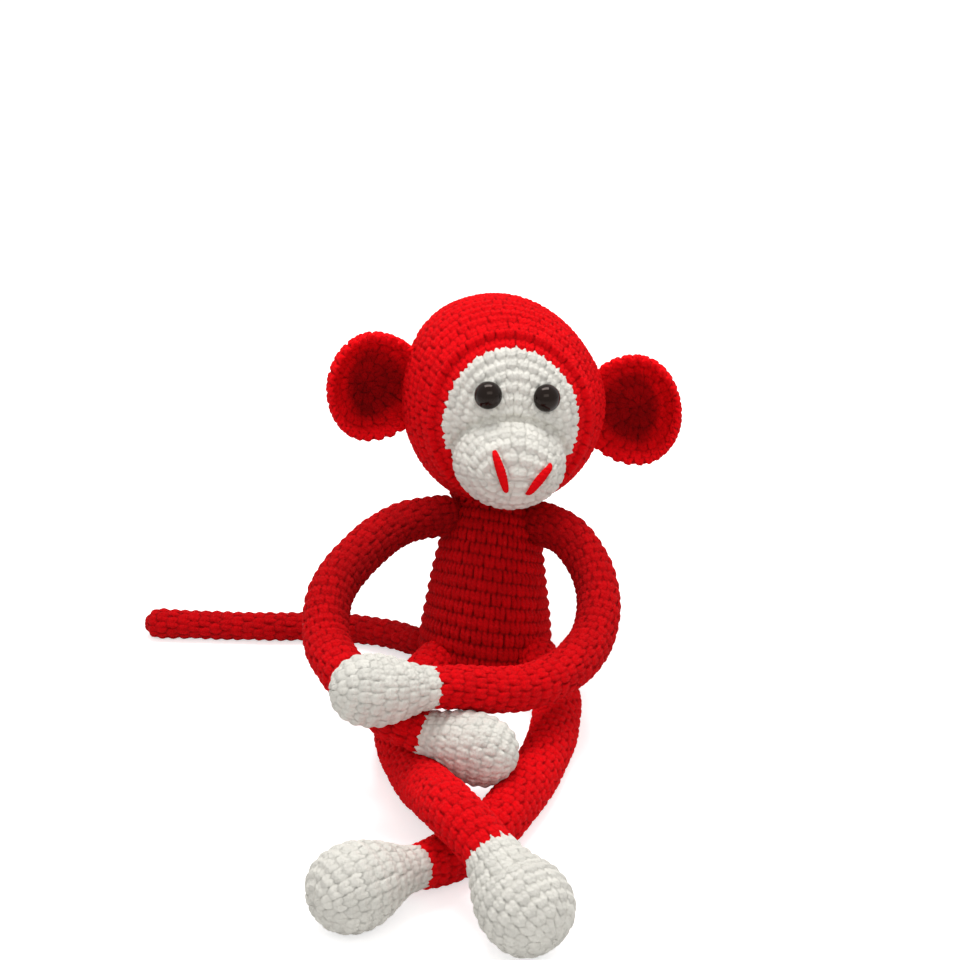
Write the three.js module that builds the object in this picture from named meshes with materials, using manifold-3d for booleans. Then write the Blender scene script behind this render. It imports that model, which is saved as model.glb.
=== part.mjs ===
// Crochet monkey, seated with its arms and legs crossed. Millimetres, +Z up, and it faces -Y.
// The origin is the middle of the flat seat, on the surface that it sits on.
// Left and right are the monkey's own: its left arm and leg lie towards +X.
import * as THREE from 'three';
import { mergeVertices } from 'three/addons/utils/BufferGeometryUtils.js';
import Module from 'manifold-3d';

const wasm = await Module();
wasm.setup();

// Yarn, fabric and the room between pieces
const gap = 0.35;
const coverThickness = 4.0;
const yarnDiameter = 3.0;
const flatDepth = 0.5;

// Torso: a cone of single crochet that leans back on a flat seat
const seatRadius = 24;
const hipRadius = 31;
const hipHeight = 9;
const shoulderRadius = 23;
const shoulderHeight = 61;
const torsoTopHeight = 75;
const torsoTopRadius = 17;
const neckPoint = new THREE.Vector3(3.2, 24, torsoTopHeight - 5);
const seatRise = 24;

// Head: worked in rounds about the face axis, from the white face to the back
const headHalfWidth = 45.5;
const headHalfDepth = 44;
const headHalfHeight = 49;
const headSink = 0.7;
const neckAxis = new THREE.Vector3(4.8, 10, 47).normalize();
const headCentre = neckPoint.clone().addScaledVector(neckAxis, headHalfHeight - headSink);
const headTurn = 5;
const headTilt = 6;
const headRoll = 5;
const crownShift = -5.2;
const faceAngle = 42.5;
const faceStretch = 1.15;
const faceDrop = 2.5;
const neckHoleRadius = 14;

// Muzzle: a stuffed oval cup sewn on the lower face
const muzzleHalfWidth = 24;
const muzzleHalfHeight = 20;
const muzzleHalfDepth = 21;
const muzzleForward = 37;
const muzzleDrop = 17.5;

// Safety eyes: a dome and post in one, held by a washer behind the face
const eyeDiameter = 12;
const eyeDomeHeight = 5.2;
const eyePostDiameter = 4;
const eyePostLength = 9;
const eyeHalfSpacing = 12.4;
const eyeRise = 12.1;
const washerDiameter = 12;
const washerThickness = 1.8;

// Ears: round cups, sewn to the sides of the head and open to the front
const earHalfWidth = 20;
const earHalfHeight = 24.8;
const earDepth = 15;
const earWall = 4.6;
const earOut = 60;
const earBack = 11;
const earInward = 16;
const rightEarRise = 3.8;
const leftEarRise = -0.4;
const earSwing = 15;

// Arms and hands
const armRootRadius = 8.6;
const armRadius = 9.6;
const wristRadius = 9.0;
const armSwell = 55;
const handRadius = 14;
const handLength = 43;
const shoulderLift = 40;
const elbowBend = 45;
const wristLift = 30;

// Legs and feet
const legRadius = 10.3;
const ankleRadius = 9.8;
const footRadius = 17.5;
const footLength = 44.5;
const hipSwing = 50;
const kneeBend = 40;

// Tail
const tailRadius = 5.8;
const tailTipRadius = 6.6;
const tailTipLength = 26;
const tailSwing = 60;

// Where a hand or foot is widest, and how far back a bending piece is cut clear
const widestShare = 0.6;
const hingeReach = 24;

// Facets around each form
const bigSides = 24;
const innerSides = 16;
const limbSides = 12;
const yarnSides = 8;

const red = { color: 0xc40f1a, roughness: 0.92, metalness: 0 };
const white = { color: 0xe9e6e0, roughness: 0.92, metalness: 0 };
const filling = { color: 0xf4f2ee, roughness: 1, metalness: 0 };
const blackGloss = { color: 0x0b0a0a, roughness: 0.12, metalness: 0 };
const clearPlastic = { color: 0xd9d9d6, roughness: 0.4, metalness: 0 };

const up = new THREE.Vector3(0, 0, 1);
const across = new THREE.Vector3(1, 0, 0);
const point = (x, y, z) => new THREE.Vector3(x, y, z);
const radians = THREE.MathUtils.degToRad;
const ease = (t) => THREE.MathUtils.smoothstep(t, 0, 1);

// Evenly spaced values, both ends included
function spread(from, to, count) {
  return Array.from({ length: count + 1 }, (_, i) => from + (to - from) * i / count);
}

// Closed geometry with shared vertices, as a solid
function solid(geometry) {
  const bare = geometry.clone();
  bare.deleteAttribute('normal');
  bare.deleteAttribute('uv');
  const merged = mergeVertices(bare, 1e-4);
  return new wasm.Manifold(new wasm.Mesh({
    numProp: 3,
    vertProperties: new Float32Array(merged.attributes.position.array),
    triVerts: new Uint32Array(merged.index.array),
  }));
}

// A solid's surface, as geometry
function surface(body) {
  const mesh = body.getMesh();
  const geometry = new THREE.BufferGeometry();
  geometry.setAttribute('position', new THREE.BufferAttribute(new Float32Array(mesh.vertProperties), 3));
  geometry.setIndex(new THREE.BufferAttribute(new Uint32Array(mesh.triVerts), 1));
  geometry.computeVertexNormals();
  return geometry;
}

function turned(geometry, pivot, axis, degrees) {
  const move = new THREE.Matrix4().makeTranslation(pivot.x, pivot.y, pivot.z);
  move.multiply(new THREE.Matrix4().makeRotationAxis(axis.clone().normalize(), radians(degrees)));
  move.multiply(new THREE.Matrix4().makeTranslation(-pivot.x, -pivot.y, -pivot.z));
  return geometry.clone().applyMatrix4(move);
}

// Cuts a body back from an obstacle, wherever the body stands between two angles of its hinge
function clearOf(body, obstacle, hinge, from, to) {
  const steps = Math.ceil(Math.abs(to - from) / 15);
  let left = body;
  for (const angle of spread(from, to, steps)) {
    left = left.subtract(solid(turned(obstacle, hinge.pivot, hinge.axis, -angle)));
  }
  return left;
}

// A form of round section along a route. The profile lists [distance along the route, radius].
function formAlong(route, profile, sides, reference) {
  const points = profile.map(([distance, radius]) => new THREE.Vector2(radius, distance));
  const form = new THREE.LatheGeometry(points, sides);
  const length = route.getLength();
  const vertices = form.attributes.position;
  for (let i = 0; i < vertices.count; i += 1) {
    const distance = vertices.getY(i);
    const share = THREE.MathUtils.clamp(distance / length, 0, 1);
    const tangent = route.getTangentAt(share);
    const normal = reference.clone().addScaledVector(tangent, -reference.dot(tangent)).normalize();
    const side = new THREE.Vector3().crossVectors(tangent, normal);
    const place = route.getPointAt(share).addScaledVector(tangent, distance - share * length);
    place.addScaledVector(side, vertices.getX(i)).addScaledVector(normal, vertices.getZ(i));
    vertices.setXYZ(i, place.x, place.y, place.z);
  }
  return form;
}

// Profile of a form through the given distances, with a ball about an end's own point or a flat end
function profileOf(radiusAt, distances, ends, extra = 0) {
  const from = distances[0];
  const to = distances[distances.length - 1];
  const profile = distances.map((distance) => [distance, radiusAt(distance) + extra]);
  const ballSteps = 3;
  const ball = (centre, sign) => {
    const radius = radiusAt(centre) + extra;
    const cap = [];
    for (let i = ballSteps; i > 0; i -= 1) {
      const angle = i / ballSteps * Math.PI / 2;
      const ring = i === ballSteps ? 0 : radius * Math.cos(angle);
      cap.push([centre + sign * radius * Math.sin(angle), ring]);
    }
    return cap;
  };
  const start = ends.start === 'ball' ? ball(from, -1) : [[from, 0]];
  const end = ends.end === 'ball' ? ball(to, 1).reverse() : [[to, 0]];
  return ends.end === 'tip' ? [...start, ...profile] : [...start, ...profile, ...end];
}

// What lies above the surface that the toy rests on, with the flat that its weight presses
function aboveFloor(body) {
  const floor = new THREE.BoxGeometry(900, 900, 100).translate(0, 0, -50);
  return body.subtract(solid(floor));
}

const group = new THREE.Group();
const headGroup = new THREE.Group();
headGroup.position.copy(headCentre);
headGroup.rotation.set(radians(-headTilt), radians(headRoll), radians(headTurn), 'ZXY');
headGroup.updateMatrixWorld(true);

function add(name, geometry, finish, parent = group) {
  const mesh = new THREE.Mesh(geometry, new THREE.MeshStandardMaterial(finish));
  mesh.name = name;
  parent.add(mesh);
}

// An oval ball worked about the face axis, whose poles lie on the head's own Y
function faceOval(halfWidth, halfDepth, halfHeight, rings, sides) {
  const points = [];
  for (let i = 0; i <= rings; i += 1) {
    const angle = Math.PI * i / rings;
    const radius = i === 0 || i === rings ? 0 : Math.sin(angle);
    points.push(new THREE.Vector2(radius, -Math.cos(angle)));
  }
  return new THREE.LatheGeometry(points, sides).scale(halfWidth, halfDepth, halfHeight);
}

// The crown leans to one side, as the stuffing has settled
function crownLean(z) {
  return crownShift * ease(z / headHalfHeight);
}

function headOval(inset) {
  const [rings, facets] = inset > 0 ? [10, innerSides] : [14, bigSides];
  const oval = faceOval(headHalfWidth - inset, headHalfDepth - inset, headHalfHeight - inset, rings, facets);
  const vertices = oval.attributes.position;
  for (let i = 0; i < vertices.count; i += 1) {
    vertices.setX(i, vertices.getX(i) + crownLean(vertices.getZ(i)));
  }
  return oval;
}

// The room that the head's underside sweeps as it turns on the neck
const socketWidth = headHalfWidth + 2 * gap;
const neckSocket = faceOval(socketWidth, headHalfHeight + 2 * gap, socketWidth, 20, bigSides);
neckSocket.applyQuaternion(new THREE.Quaternion().setFromUnitVectors(point(0, 1, 0), neckAxis));
neckSocket.translate(headCentre.x, headCentre.y, headCentre.z);

// Torso cover, its filling and the yarn that sews the neck
const spine = new THREE.QuadraticBezierCurve3(point(0, 0, 0), point(0, 0, seatRise), neckPoint);

function torsoRadius(height) {
  if (height < hipHeight) {
    const rise = 1 - height / hipHeight;
    return seatRadius + (hipRadius - seatRadius) * Math.sqrt(1 - rise * rise);
  }
  if (height < shoulderHeight) {
    const share = (height - hipHeight) / (shoulderHeight - hipHeight);
    return hipRadius - (hipRadius - shoulderRadius) * share ** 1.3;
  }
  const share = (height - shoulderHeight) / (torsoTopHeight - shoulderHeight);
  return torsoTopRadius + (shoulderRadius - torsoTopRadius) * Math.sqrt(1 - share * share);
}

const torsoHeights = [
  0, 1.2, 4, ...spread(hipHeight, shoulderHeight, 4), ...spread(shoulderHeight, torsoTopHeight, 4).slice(2),
];

function torsoOuter(extra) {
  const profile = torsoHeights.map((height) => [height, torsoRadius(height) + extra]);
  return [[0, 0], ...profile];
}

// The room inside the cover, closed off at a height above the neck
function torsoRoom(inset, top) {
  const shoulders = spread(shoulderHeight, torsoTopHeight, 2).slice(1);
  const heights = [inset, ...spread(hipHeight, shoulderHeight, 3), ...shoulders];
  const profile = heights.map((height) => [height, torsoRadius(height) - inset]);
  const last = profile[profile.length - 1][1];
  return solid(formAlong(spine, [[inset, 0], ...profile, [top, last], [top, 0]], innerSides, across));
}

const torsoLid = [[torsoTopHeight + gap, torsoTopRadius + gap], [torsoTopHeight + gap, 0]];
const torsoKeepOut = formAlong(spine, [...torsoOuter(2 * gap), ...torsoLid], bigSides, across);

function makeTorso() {
  const outside = solid(formAlong(spine, [...torsoOuter(0), [torsoTopHeight, 0]], bigSides, across));
  const cover = outside.subtract(torsoRoom(coverThickness, torsoTopHeight + 5));
  add('torso_cover', surface(cover.subtract(solid(neckSocket))), red);
  const stuffing = torsoRoom(coverThickness + 2 * gap, torsoTopHeight + 0.5);
  add('torso_stuffing', surface(stuffing.subtract(solid(neckSocket))), filling);
}

function makeNeckSeam() {
  const seamRadius = torsoTopRadius + 1;
  const ring = new THREE.TorusGeometry(seamRadius, yarnDiameter / 2, yarnSides, bigSides);
  ring.applyQuaternion(new THREE.Quaternion().setFromUnitVectors(up, neckAxis));
  const crease = neckPoint.clone().addScaledVector(neckAxis, torsoTopHeight - spine.getLength() + 1.4);
  ring.translate(crease.x, crease.y, crease.z);
  const seam = solid(ring).subtract(solid(torsoKeepOut)).subtract(solid(neckSocket));
  add('neck_seam_yarn', surface(seam), red);
}

// Head: a hollow ball whose white rounds are the face, open where the neck is sewn on
function faceCone(extra) {
  const reach = headHalfDepth + 20;
  const edge = Math.tan(radians(faceAngle)) * reach;
  const points = [new THREE.Vector2(0, 0), new THREE.Vector2(edge, reach), new THREE.Vector2(0, reach)];
  const cone = new THREE.LatheGeometry(points, bigSides).translate(0, -extra / Math.sin(radians(faceAngle)), 0);
  cone.rotateX(Math.PI);
  return cone.scale(1, 1, faceStretch).rotateX(radians(faceDrop));
}

function headSurfaceY(x, z, inset) {
  const across2 = ((x - crownLean(z)) / (headHalfWidth - inset)) ** 2;
  const up2 = (z / (headHalfHeight - inset)) ** 2;
  return -(headHalfDepth - inset) * Math.sqrt(1 - across2 - up2);
}

// A piece of the eye, from its own axis +Y out of the face to its place on the head
function atEye(geometry, side) {
  const x = side * eyeHalfSpacing;
  const y = headSurfaceY(x, eyeRise, 0);
  const slant = (x - crownLean(eyeRise)) / headHalfWidth ** 2;
  const normal = point(slant, y / headHalfDepth ** 2, eyeRise / headHalfHeight ** 2);
  geometry.applyQuaternion(new THREE.Quaternion().setFromUnitVectors(point(0, 1, 0), normal.normalize()));
  return geometry.translate(x, y, eyeRise);
}

function disc(radius, from, to, sides) {
  return new THREE.CylinderGeometry(radius, radius, to - from, sides).translate(0, (from + to) / 2, 0);
}

const washerTop = -(coverThickness + gap + 1.3);
const sides = [
  { name: 'right', sign: -1, earRise: rightEarRise },
  { name: 'left', sign: 1, earRise: leftEarRise },
];

function makeEyes() {
  const postRadius = eyePostDiameter / 2;
  const postEnd = gap - eyePostLength;
  for (const side of sides) {
    const profile = [new THREE.Vector2(0, postEnd), new THREE.Vector2(postRadius, postEnd)];
    profile.push(new THREE.Vector2(postRadius, gap));
    for (let i = 0; i <= 5; i += 1) {
      const angle = i / 5 * Math.PI / 2;
      const radius = i === 5 ? 0 : eyeDiameter / 2 * Math.cos(angle);
      profile.push(new THREE.Vector2(radius, gap + eyeDomeHeight * Math.sin(angle)));
    }
    add(`${side.name}_eye`, atEye(new THREE.LatheGeometry(profile, 20), side.sign), blackGloss, headGroup);
    const plate = solid(disc(washerDiameter / 2, washerTop - washerThickness, washerTop, 20));
    const hole = solid(disc(postRadius + gap, washerTop - 2 * washerThickness, washerTop + 1, 20));
    const washer = atEye(surface(plate.subtract(hole)), side.sign);
    add(`${side.name}_eye_washer`, washer, clearPlastic, headGroup);
  }
}

function makeHead() {
  const neckHole = new THREE.CylinderGeometry(neckHoleRadius, neckHoleRadius, 2 * headHalfHeight, bigSides);
  neckHole.translate(0, -headHalfHeight, 0);
  neckHole.applyQuaternion(new THREE.Quaternion().setFromUnitVectors(point(0, 1, 0), neckAxis));
  neckHole.applyQuaternion(headGroup.quaternion.clone().invert());
  const shell = solid(headOval(0)).subtract(solid(headOval(coverThickness)));
  add('head_cover', surface(shell.subtract(solid(faceCone(gap))).subtract(solid(neckHole))), red, headGroup);
  let face = shell.intersect(solid(faceCone(0)));
  let stuffing = solid(headOval(coverThickness + gap));
  for (const side of sides) {
    const post = disc(eyePostDiameter / 2 + gap, -2 * eyePostLength, eyePostLength, 16);
    face = face.subtract(solid(atEye(post, side.sign)));
    const pocket = disc(washerDiameter / 2 + gap, -eyePostLength, 0, 20);
    stuffing = stuffing.subtract(solid(atEye(pocket, side.sign)));
  }
  add('face_panel', surface(face), white, headGroup);
  add('head_stuffing', surface(stuffing), filling, headGroup);
}

// Muzzle cup, its filling and the two yarn stitches
function muzzleOval(inset) {
  const [rings, facets] = inset > 0 ? [8, innerSides] : [10, 20];
  const oval = faceOval(
    muzzleHalfWidth - inset, muzzleHalfDepth - inset, muzzleHalfHeight - inset, rings, facets,
  );
  return oval.translate(0, -muzzleForward, -muzzleDrop);
}

function muzzleSurfaceY(x, z) {
  const across2 = (x / muzzleHalfWidth) ** 2;
  const up2 = ((z + muzzleDrop) / muzzleHalfHeight) ** 2;
  return -muzzleForward - muzzleHalfDepth * Math.sqrt(1 - across2 - up2);
}

// One long stitch: up out of the muzzle, along its skin and back in
function mouthStitch(top, bottom, extra) {
  const radius = yarnDiameter / 2;
  const depth = coverThickness / 2 + extra;
  const middle = [(top[0] + bottom[0]) / 2, (top[1] + bottom[1]) / 2];
  const onSkin = (at, rise) => point(at[0], muzzleSurfaceY(at[0], at[1]) - rise, at[1]);
  const route = new THREE.CatmullRomCurve3([
    onSkin(top, -depth),
    onSkin(top, radius * 0.6),
    onSkin(middle, radius),
    onSkin(bottom, radius * 0.6),
    onSkin(bottom, -depth),
  ]);
  const outline = new THREE.Shape().absarc(0, 0, radius + extra, 0, 2 * Math.PI);
  return new THREE.ExtrudeGeometry(outline, { steps: 10, curveSegments: 3, extrudePath: route });
}

const stitches = [
  { name: 'right', top: [-9, -7.5], bottom: [-2.2, -26] },
  { name: 'left', top: [16.2, -12.5], bottom: [7.9, -27] },
];

function makeMuzzle() {
  const head = solid(headOval(-gap));
  let cover = solid(muzzleOval(0)).subtract(solid(muzzleOval(coverThickness))).subtract(head);
  const stuffing = solid(muzzleOval(coverThickness + gap)).subtract(head);
  for (const stitch of stitches) {
    const yarn = mouthStitch(stitch.top, stitch.bottom, 0);
    cover = cover.subtract(solid(mouthStitch(stitch.top, stitch.bottom, 2 * gap)));
    add(`${stitch.name}_mouth_stitch`, yarn, red, headGroup);
  }
  add('muzzle_cover', surface(cover), white, headGroup);
  add('muzzle_stuffing', surface(stuffing), filling, headGroup);
}

// Ears
function earCup() {
  const rim = earWall / 2;
  const outside = [];
  const inside = [];
  for (let i = 0; i <= 5; i += 1) {
    const angle = i / 5 * Math.PI / 2;
    const radius = i === 0 ? 0 : Math.sin(angle);
    outside.push([earHalfHeight * radius, -(earDepth - rim) * Math.cos(angle)]);
    inside.push([(earHalfHeight - earWall) * radius, -(earDepth - rim - earWall) * Math.cos(angle)]);
  }
  const profile = [...outside, [earHalfHeight - rim, rim], ...inside.reverse()];
  const cup = new THREE.LatheGeometry(profile.map(([r, h]) => new THREE.Vector2(r, h)), 20);
  return cup.scale(earHalfWidth / earHalfHeight, 1, 1).rotateX(Math.PI);
}

function makeEars() {
  for (const side of sides) {
    const cup = earCup().rotateZ(radians(side.sign * -earInward));
    cup.translate(side.sign * earOut, earBack - earDepth, side.earRise);
    const hinge = { pivot: point(side.sign * (headHalfWidth - 3), earBack - 6, 0), axis: up };
    const ear = clearOf(solid(cup), headOval(-gap), hinge, -earSwing, earSwing);
    add(`${side.name}_ear`, surface(ear), red, headGroup);
  }
}

// Limbs: each route runs from the seam at the torso to the tip, in points chosen by eye
const legRest = legRadius - flatDepth;
const footRest = footRadius - flatDepth;
const tailRest = tailRadius - flatDepth;
const rightArmRoute = new THREE.CatmullRomCurve3([
  point(-20, 10, torsoTopHeight - 5),
  point(-37, 2, 72.6),
  point(-54, -16, 68.7),
  point(-66.4, -40, 57.7),
  point(-67.7, -62, 46.2),
  point(-59.5, -83, 41),
  point(-47.5, -99, 38),
  point(-34, -109, 34),
  point(-22.5, -112.5, 30.4),
  point(-6.5, -119, 27.8),
  point(11, -124, 23.8),
]);
const leftArmRoute = new THREE.CatmullRomCurve3([
  point(26, 10, torsoTopHeight - 6.5),
  point(36.1, -2, 65.7),
  point(45.1, -18, 56.7),
  point(47.5, -34, 48.6),
  point(44.6, -52, 41),
  point(34.5, -72, 38.3),
  point(19.6, -88, 40),
  point(5.3, -98, 43.5),
  point(-18.5, -110, 50.3),
  point(-41, -120, 54.9),
  point(-60.5, -126, 57.8),
]);
const rightLegRoute = new THREE.CatmullRomCurve3([
  point(-22, -20, legRest),
  point(-33, -42, legRest),
  point(-37, -78, legRest),
  point(-30, -112, 11.3),
  point(-20.4, -144, 22.4),
  point(-12.5, -170, 31.6),
  point(0.5, -192, 29.5),
  point(10, -208, 21),
  point(19, -228, 13),
]);
const leftLegRoute = new THREE.CatmullRomCurve3([
  point(23, -20, legRest),
  point(30, -44, legRest),
  point(29, -72, legRest),
  point(22.5, -102, legRest),
  point(10, -135, legRest),
  point(-2, -156, legRest),
  point(-18, -173, 10.8),
  point(-40.5, -191, footRest),
  point(-62.5, -206, footRest - 1),
]);
const tailRoute = new THREE.CatmullRomCurve3([
  point(-29, 6, 8),
  point(-44, 15, tailRest + 1),
  point(-63, 24, tailRest),
  point(-82, 28, tailRest),
  point(-105, 31, tailRest),
  point(-134, 35, tailRest),
  point(-162, 39, tailTipRadius - flatDepth),
]);

// Radius of a limb along its route, swelling into an egg-shaped hand or foot at its end
function limbRadius(sizes, route) {
  const cuff = route.getLength() - sizes.endLength;
  return (distance) => {
    if (distance <= cuff) {
      const swell = ease(distance / sizes.swell);
      const fall = ease((distance - cuff + 25) / 25);
      const limb = sizes.root + (sizes.middle - sizes.root) * swell;
      return limb + (sizes.cuff - sizes.middle) * fall;
    }
    const share = (distance - cuff) / sizes.endLength;
    if (share < widestShare) {
      return sizes.cuff + (sizes.end - sizes.cuff) * ease(share / widestShare);
    }
    const past = Math.min(1, (share - widestShare) / (1 - widestShare));
    return sizes.end * Math.sqrt(1 - past * past);
  };
}

const armSizes = {
  root: armRootRadius, middle: armRadius, cuff: wristRadius, swell: armSwell,
  end: handRadius, endLength: handLength,
};
const legSizes = {
  root: legRadius, middle: legRadius, cuff: ankleRadius, swell: 1,
  end: footRadius, endLength: footLength,
};

// Hinge lines that both arms or both legs share, as one crossed limb lies on the other
function lineThrough(a, b) {
  return b.clone().sub(a).normalize();
}

const elbowShare = 0.38;
const kneeShare = 0.42;
const rightElbow = rightArmRoute.getPointAt(elbowShare);
const leftElbow = leftArmRoute.getPointAt(elbowShare);
const shoulderAxis = lineThrough(rightArmRoute.getPointAt(0), leftArmRoute.getPointAt(0)).negate();
const elbowAxis = lineThrough(rightElbow, leftElbow).negate();
const kneeAxis = lineThrough(rightLegRoute.getPointAt(kneeShare), leftLegRoute.getPointAt(kneeShare));

// Hollows a piece's end for the ball of the piece before it, and bevels it for the bend
function hingedTo(piece, form, at, hinge, range) {
  const ball = form([at - gap, at], { end: 'ball' }, 2 * gap);
  const sleeve = form([at - hingeReach, at - hingeReach / 2, at], {}, 3 * gap);
  return clearOf(piece.subtract(solid(ball)), sleeve, hinge, ...range);
}

// Distances along a hand or foot, closer together where it rounds off
function endDistances(cuff, endLength) {
  const cap = spread(0, 75, 5).map((angle) => widestShare + (1 - widestShare) * Math.sin(radians(angle)));
  const shares = [...spread(0, widestShare, 4).slice(0, -1), ...cap, 1];
  return shares.map((share) => cuff + share * endLength);
}

// The room of a limb from its bend to its tip, for the softer one that lies on it
function roomOf({ route, sizes }) {
  const length = route.getLength();
  const cuff = length - sizes.endLength;
  const distances = [...spread(length * 0.3, cuff, 9).slice(0, -1), ...endDistances(cuff, sizes.endLength)];
  const profile = profileOf(limbRadius(sizes, route), distances, { end: 'tip' }, 1.5 * gap);
  return solid(formAlong(route, [...profile.slice(0, -1), [length + gap, 0]], limbSides, up));
}

// Points along a limb with their radii, from a distance along it to its tip
function samplesFrom({ route, sizes }, from) {
  const length = route.getLength();
  const radiusAt = limbRadius(sizes, route);
  return spread(from, length, 80).map((distance) => (
    { at: route.getPointAt(Math.min(1, distance / length)), radius: radiusAt(distance) }
  ));
}

// A block whose top is the flat that a hand or foot is pressed to where it lies on another limb
function bedOf(upper, lower) {
  const cuff = upper.route.getLength() - upper.sizes.endLength;
  let nearest = { room: Infinity };
  for (const above of samplesFrom(upper, cuff)) {
    for (const below of samplesFrom(lower, 0)) {
      const room = above.at.distanceTo(below.at) - above.radius - below.radius;
      nearest = room < nearest.room ? { room, above, below } : nearest;
    }
  }
  const { above, below } = nearest;
  const normal = above.at.clone().sub(below.at).normalize();
  const top = below.at.clone().addScaledVector(normal, below.radius + 1.5 * gap);
  const block = new THREE.BoxGeometry(2 * handLength, 2 * handLength, handLength).translate(0, 0, -handLength / 2);
  block.applyQuaternion(new THREE.Quaternion().setFromUnitVectors(up, normal));
  return solid(block.translate(top.x, top.y, top.z));
}

// One limb in three nodes: root piece, far piece and hand or foot, dented by what it lies on
function makeLimb(limb) {
  const { route, sizes } = limb;
  const rooms = limb.liesOn.map(roomOf);
  const dented = (piece) => rooms.reduce((left, room) => left.subtract(room), aboveFloor(piece));
  const length = route.getLength();
  const cuff = length - sizes.endLength;
  const bend = length * limb.bendShare;
  const radiusAt = limbRadius(sizes, route);
  const ballEnds = { start: 'ball', end: 'ball' };
  const form = (distances, ends, extra) => formAlong(
    route, profileOf(radiusAt, distances, ends, extra), limbSides, up,
  );
  const root = { pivot: route.getPointAt(0), axis: limb.rootAxis };
  const middle = { pivot: route.getPointAt(limb.bendShare), axis: limb.bendAxis };
  const wrist = { pivot: route.getPointAt(cuff / length), axis: limb.endAxis };

  const firstForm = form(spread(0, bend, 6), { start: 'ball', end: 'ball' });
  const first = clearOf(solid(firstForm), torsoKeepOut, root, ...limb.rootRange);
  add(limb.names[0], surface(dented(first)), red);

  const secondForm = form(spread(bend, cuff, 7), { end: limb.endRange ? 'ball' : 'flat' });
  const second = hingedTo(solid(secondForm), form, bend, middle, limb.bendRange);
  add(limb.names[1], surface(dented(second)), red);

  const distances = endDistances(cuff, sizes.endLength);
  distances[0] += limb.endRange ? 0 : gap;
  let end = solid(form(distances, { end: 'tip' }));
  if (limb.endRange) {
    end = hingedTo(end, form, cuff, wrist, limb.endRange);
  }
  for (const lower of limb.liesOn) {
    end = end.subtract(bedOf(limb, lower));
  }
  add(limb.names[2], surface(aboveFloor(end)), white);
}

function makeTail() {
  const length = tailRoute.getLength();
  const straight = length - tailTipRadius;
  const radiusAt = (distance) => {
    const swell = ease((distance - length + tailTipLength) / (tailTipLength - tailTipRadius));
    return tailRadius + (tailTipRadius - tailRadius) * swell;
  };
  const profile = profileOf(radiusAt, spread(0, straight, 12), { start: 'ball', end: 'ball' });
  const tail = solid(formAlong(tailRoute, profile, limbSides, up));
  const hinge = { pivot: tailRoute.getPointAt(0), axis: up };
  add('tail', surface(aboveFloor(clearOf(tail, torsoKeepOut, hinge, -tailSwing, 0))), red);
}

makeTorso();
makeNeckSeam();
makeHead();
makeEyes();
makeMuzzle();
makeEars();
const rightArm = {
  names: ['right_upper_arm', 'right_forearm', 'right_hand'],
  route: rightArmRoute, sizes: armSizes, bendShare: elbowShare,
  rootAxis: shoulderAxis, rootRange: [0, shoulderLift],
  bendAxis: elbowAxis, bendRange: [0, elbowBend],
};
const leftArm = {
  names: ['left_upper_arm', 'left_forearm', 'left_hand'],
  route: leftArmRoute, sizes: armSizes, bendShare: elbowShare,
  rootAxis: shoulderAxis, rootRange: [0, shoulderLift],
  bendAxis: elbowAxis, bendRange: [0, elbowBend],
  endAxis: point(0, 1, 0), endRange: [0, wristLift],
};
const rightLeg = {
  names: ['right_thigh', 'right_shin', 'right_foot'],
  route: rightLegRoute, sizes: legSizes, bendShare: kneeShare,
  rootAxis: across, rootRange: [0, hipSwing],
  bendAxis: kneeAxis, bendRange: [0, kneeBend],
};
const leftLeg = {
  names: ['left_thigh', 'left_shin', 'left_foot'],
  route: leftLegRoute, sizes: legSizes, bendShare: kneeShare,
  rootAxis: across, rootRange: [0, hipSwing],
  bendAxis: kneeAxis, bendRange: [0, kneeBend],
};
makeLimb({ ...leftLeg, liesOn: [] });
makeLimb({ ...rightLeg, liesOn: [leftLeg] });
makeLimb({ ...rightArm, liesOn: [leftLeg, rightLeg] });
makeLimb({ ...leftArm, liesOn: [rightArm] });
makeTail();
group.add(headGroup);

export default group;
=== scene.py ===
"""Crochet monkey toy, seated with crossed arms and legs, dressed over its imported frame."""
import math

import bmesh
import bpy
import numpy as np
from mathutils import Matrix, Vector


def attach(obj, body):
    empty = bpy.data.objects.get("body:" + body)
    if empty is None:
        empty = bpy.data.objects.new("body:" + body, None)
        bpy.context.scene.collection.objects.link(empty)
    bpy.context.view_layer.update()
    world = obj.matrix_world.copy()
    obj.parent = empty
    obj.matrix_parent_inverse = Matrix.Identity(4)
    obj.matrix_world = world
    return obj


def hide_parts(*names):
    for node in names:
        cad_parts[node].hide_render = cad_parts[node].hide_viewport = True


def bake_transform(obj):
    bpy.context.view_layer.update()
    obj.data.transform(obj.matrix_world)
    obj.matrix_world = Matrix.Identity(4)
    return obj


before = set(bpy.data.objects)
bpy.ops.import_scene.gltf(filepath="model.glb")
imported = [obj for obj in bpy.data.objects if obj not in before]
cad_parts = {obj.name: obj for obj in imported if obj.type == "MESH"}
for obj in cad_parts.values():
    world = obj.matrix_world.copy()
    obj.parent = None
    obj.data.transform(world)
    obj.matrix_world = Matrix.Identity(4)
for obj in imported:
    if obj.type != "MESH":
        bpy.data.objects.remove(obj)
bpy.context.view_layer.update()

bl_info = {
    "name": "Crochet Monkey",
    "version": (1, 0, 0),
    "blender": (4, 5, 0),
    "location": "3D View > Sidebar > Monkey",
    "description": "Covers the monkey's solids with rounds of single crochet, eyes, seams and a studio",
    "category": "Object",
}

# Sizes are in millimetres in this file, and in metres in Blender.
MM = 0.001


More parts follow.
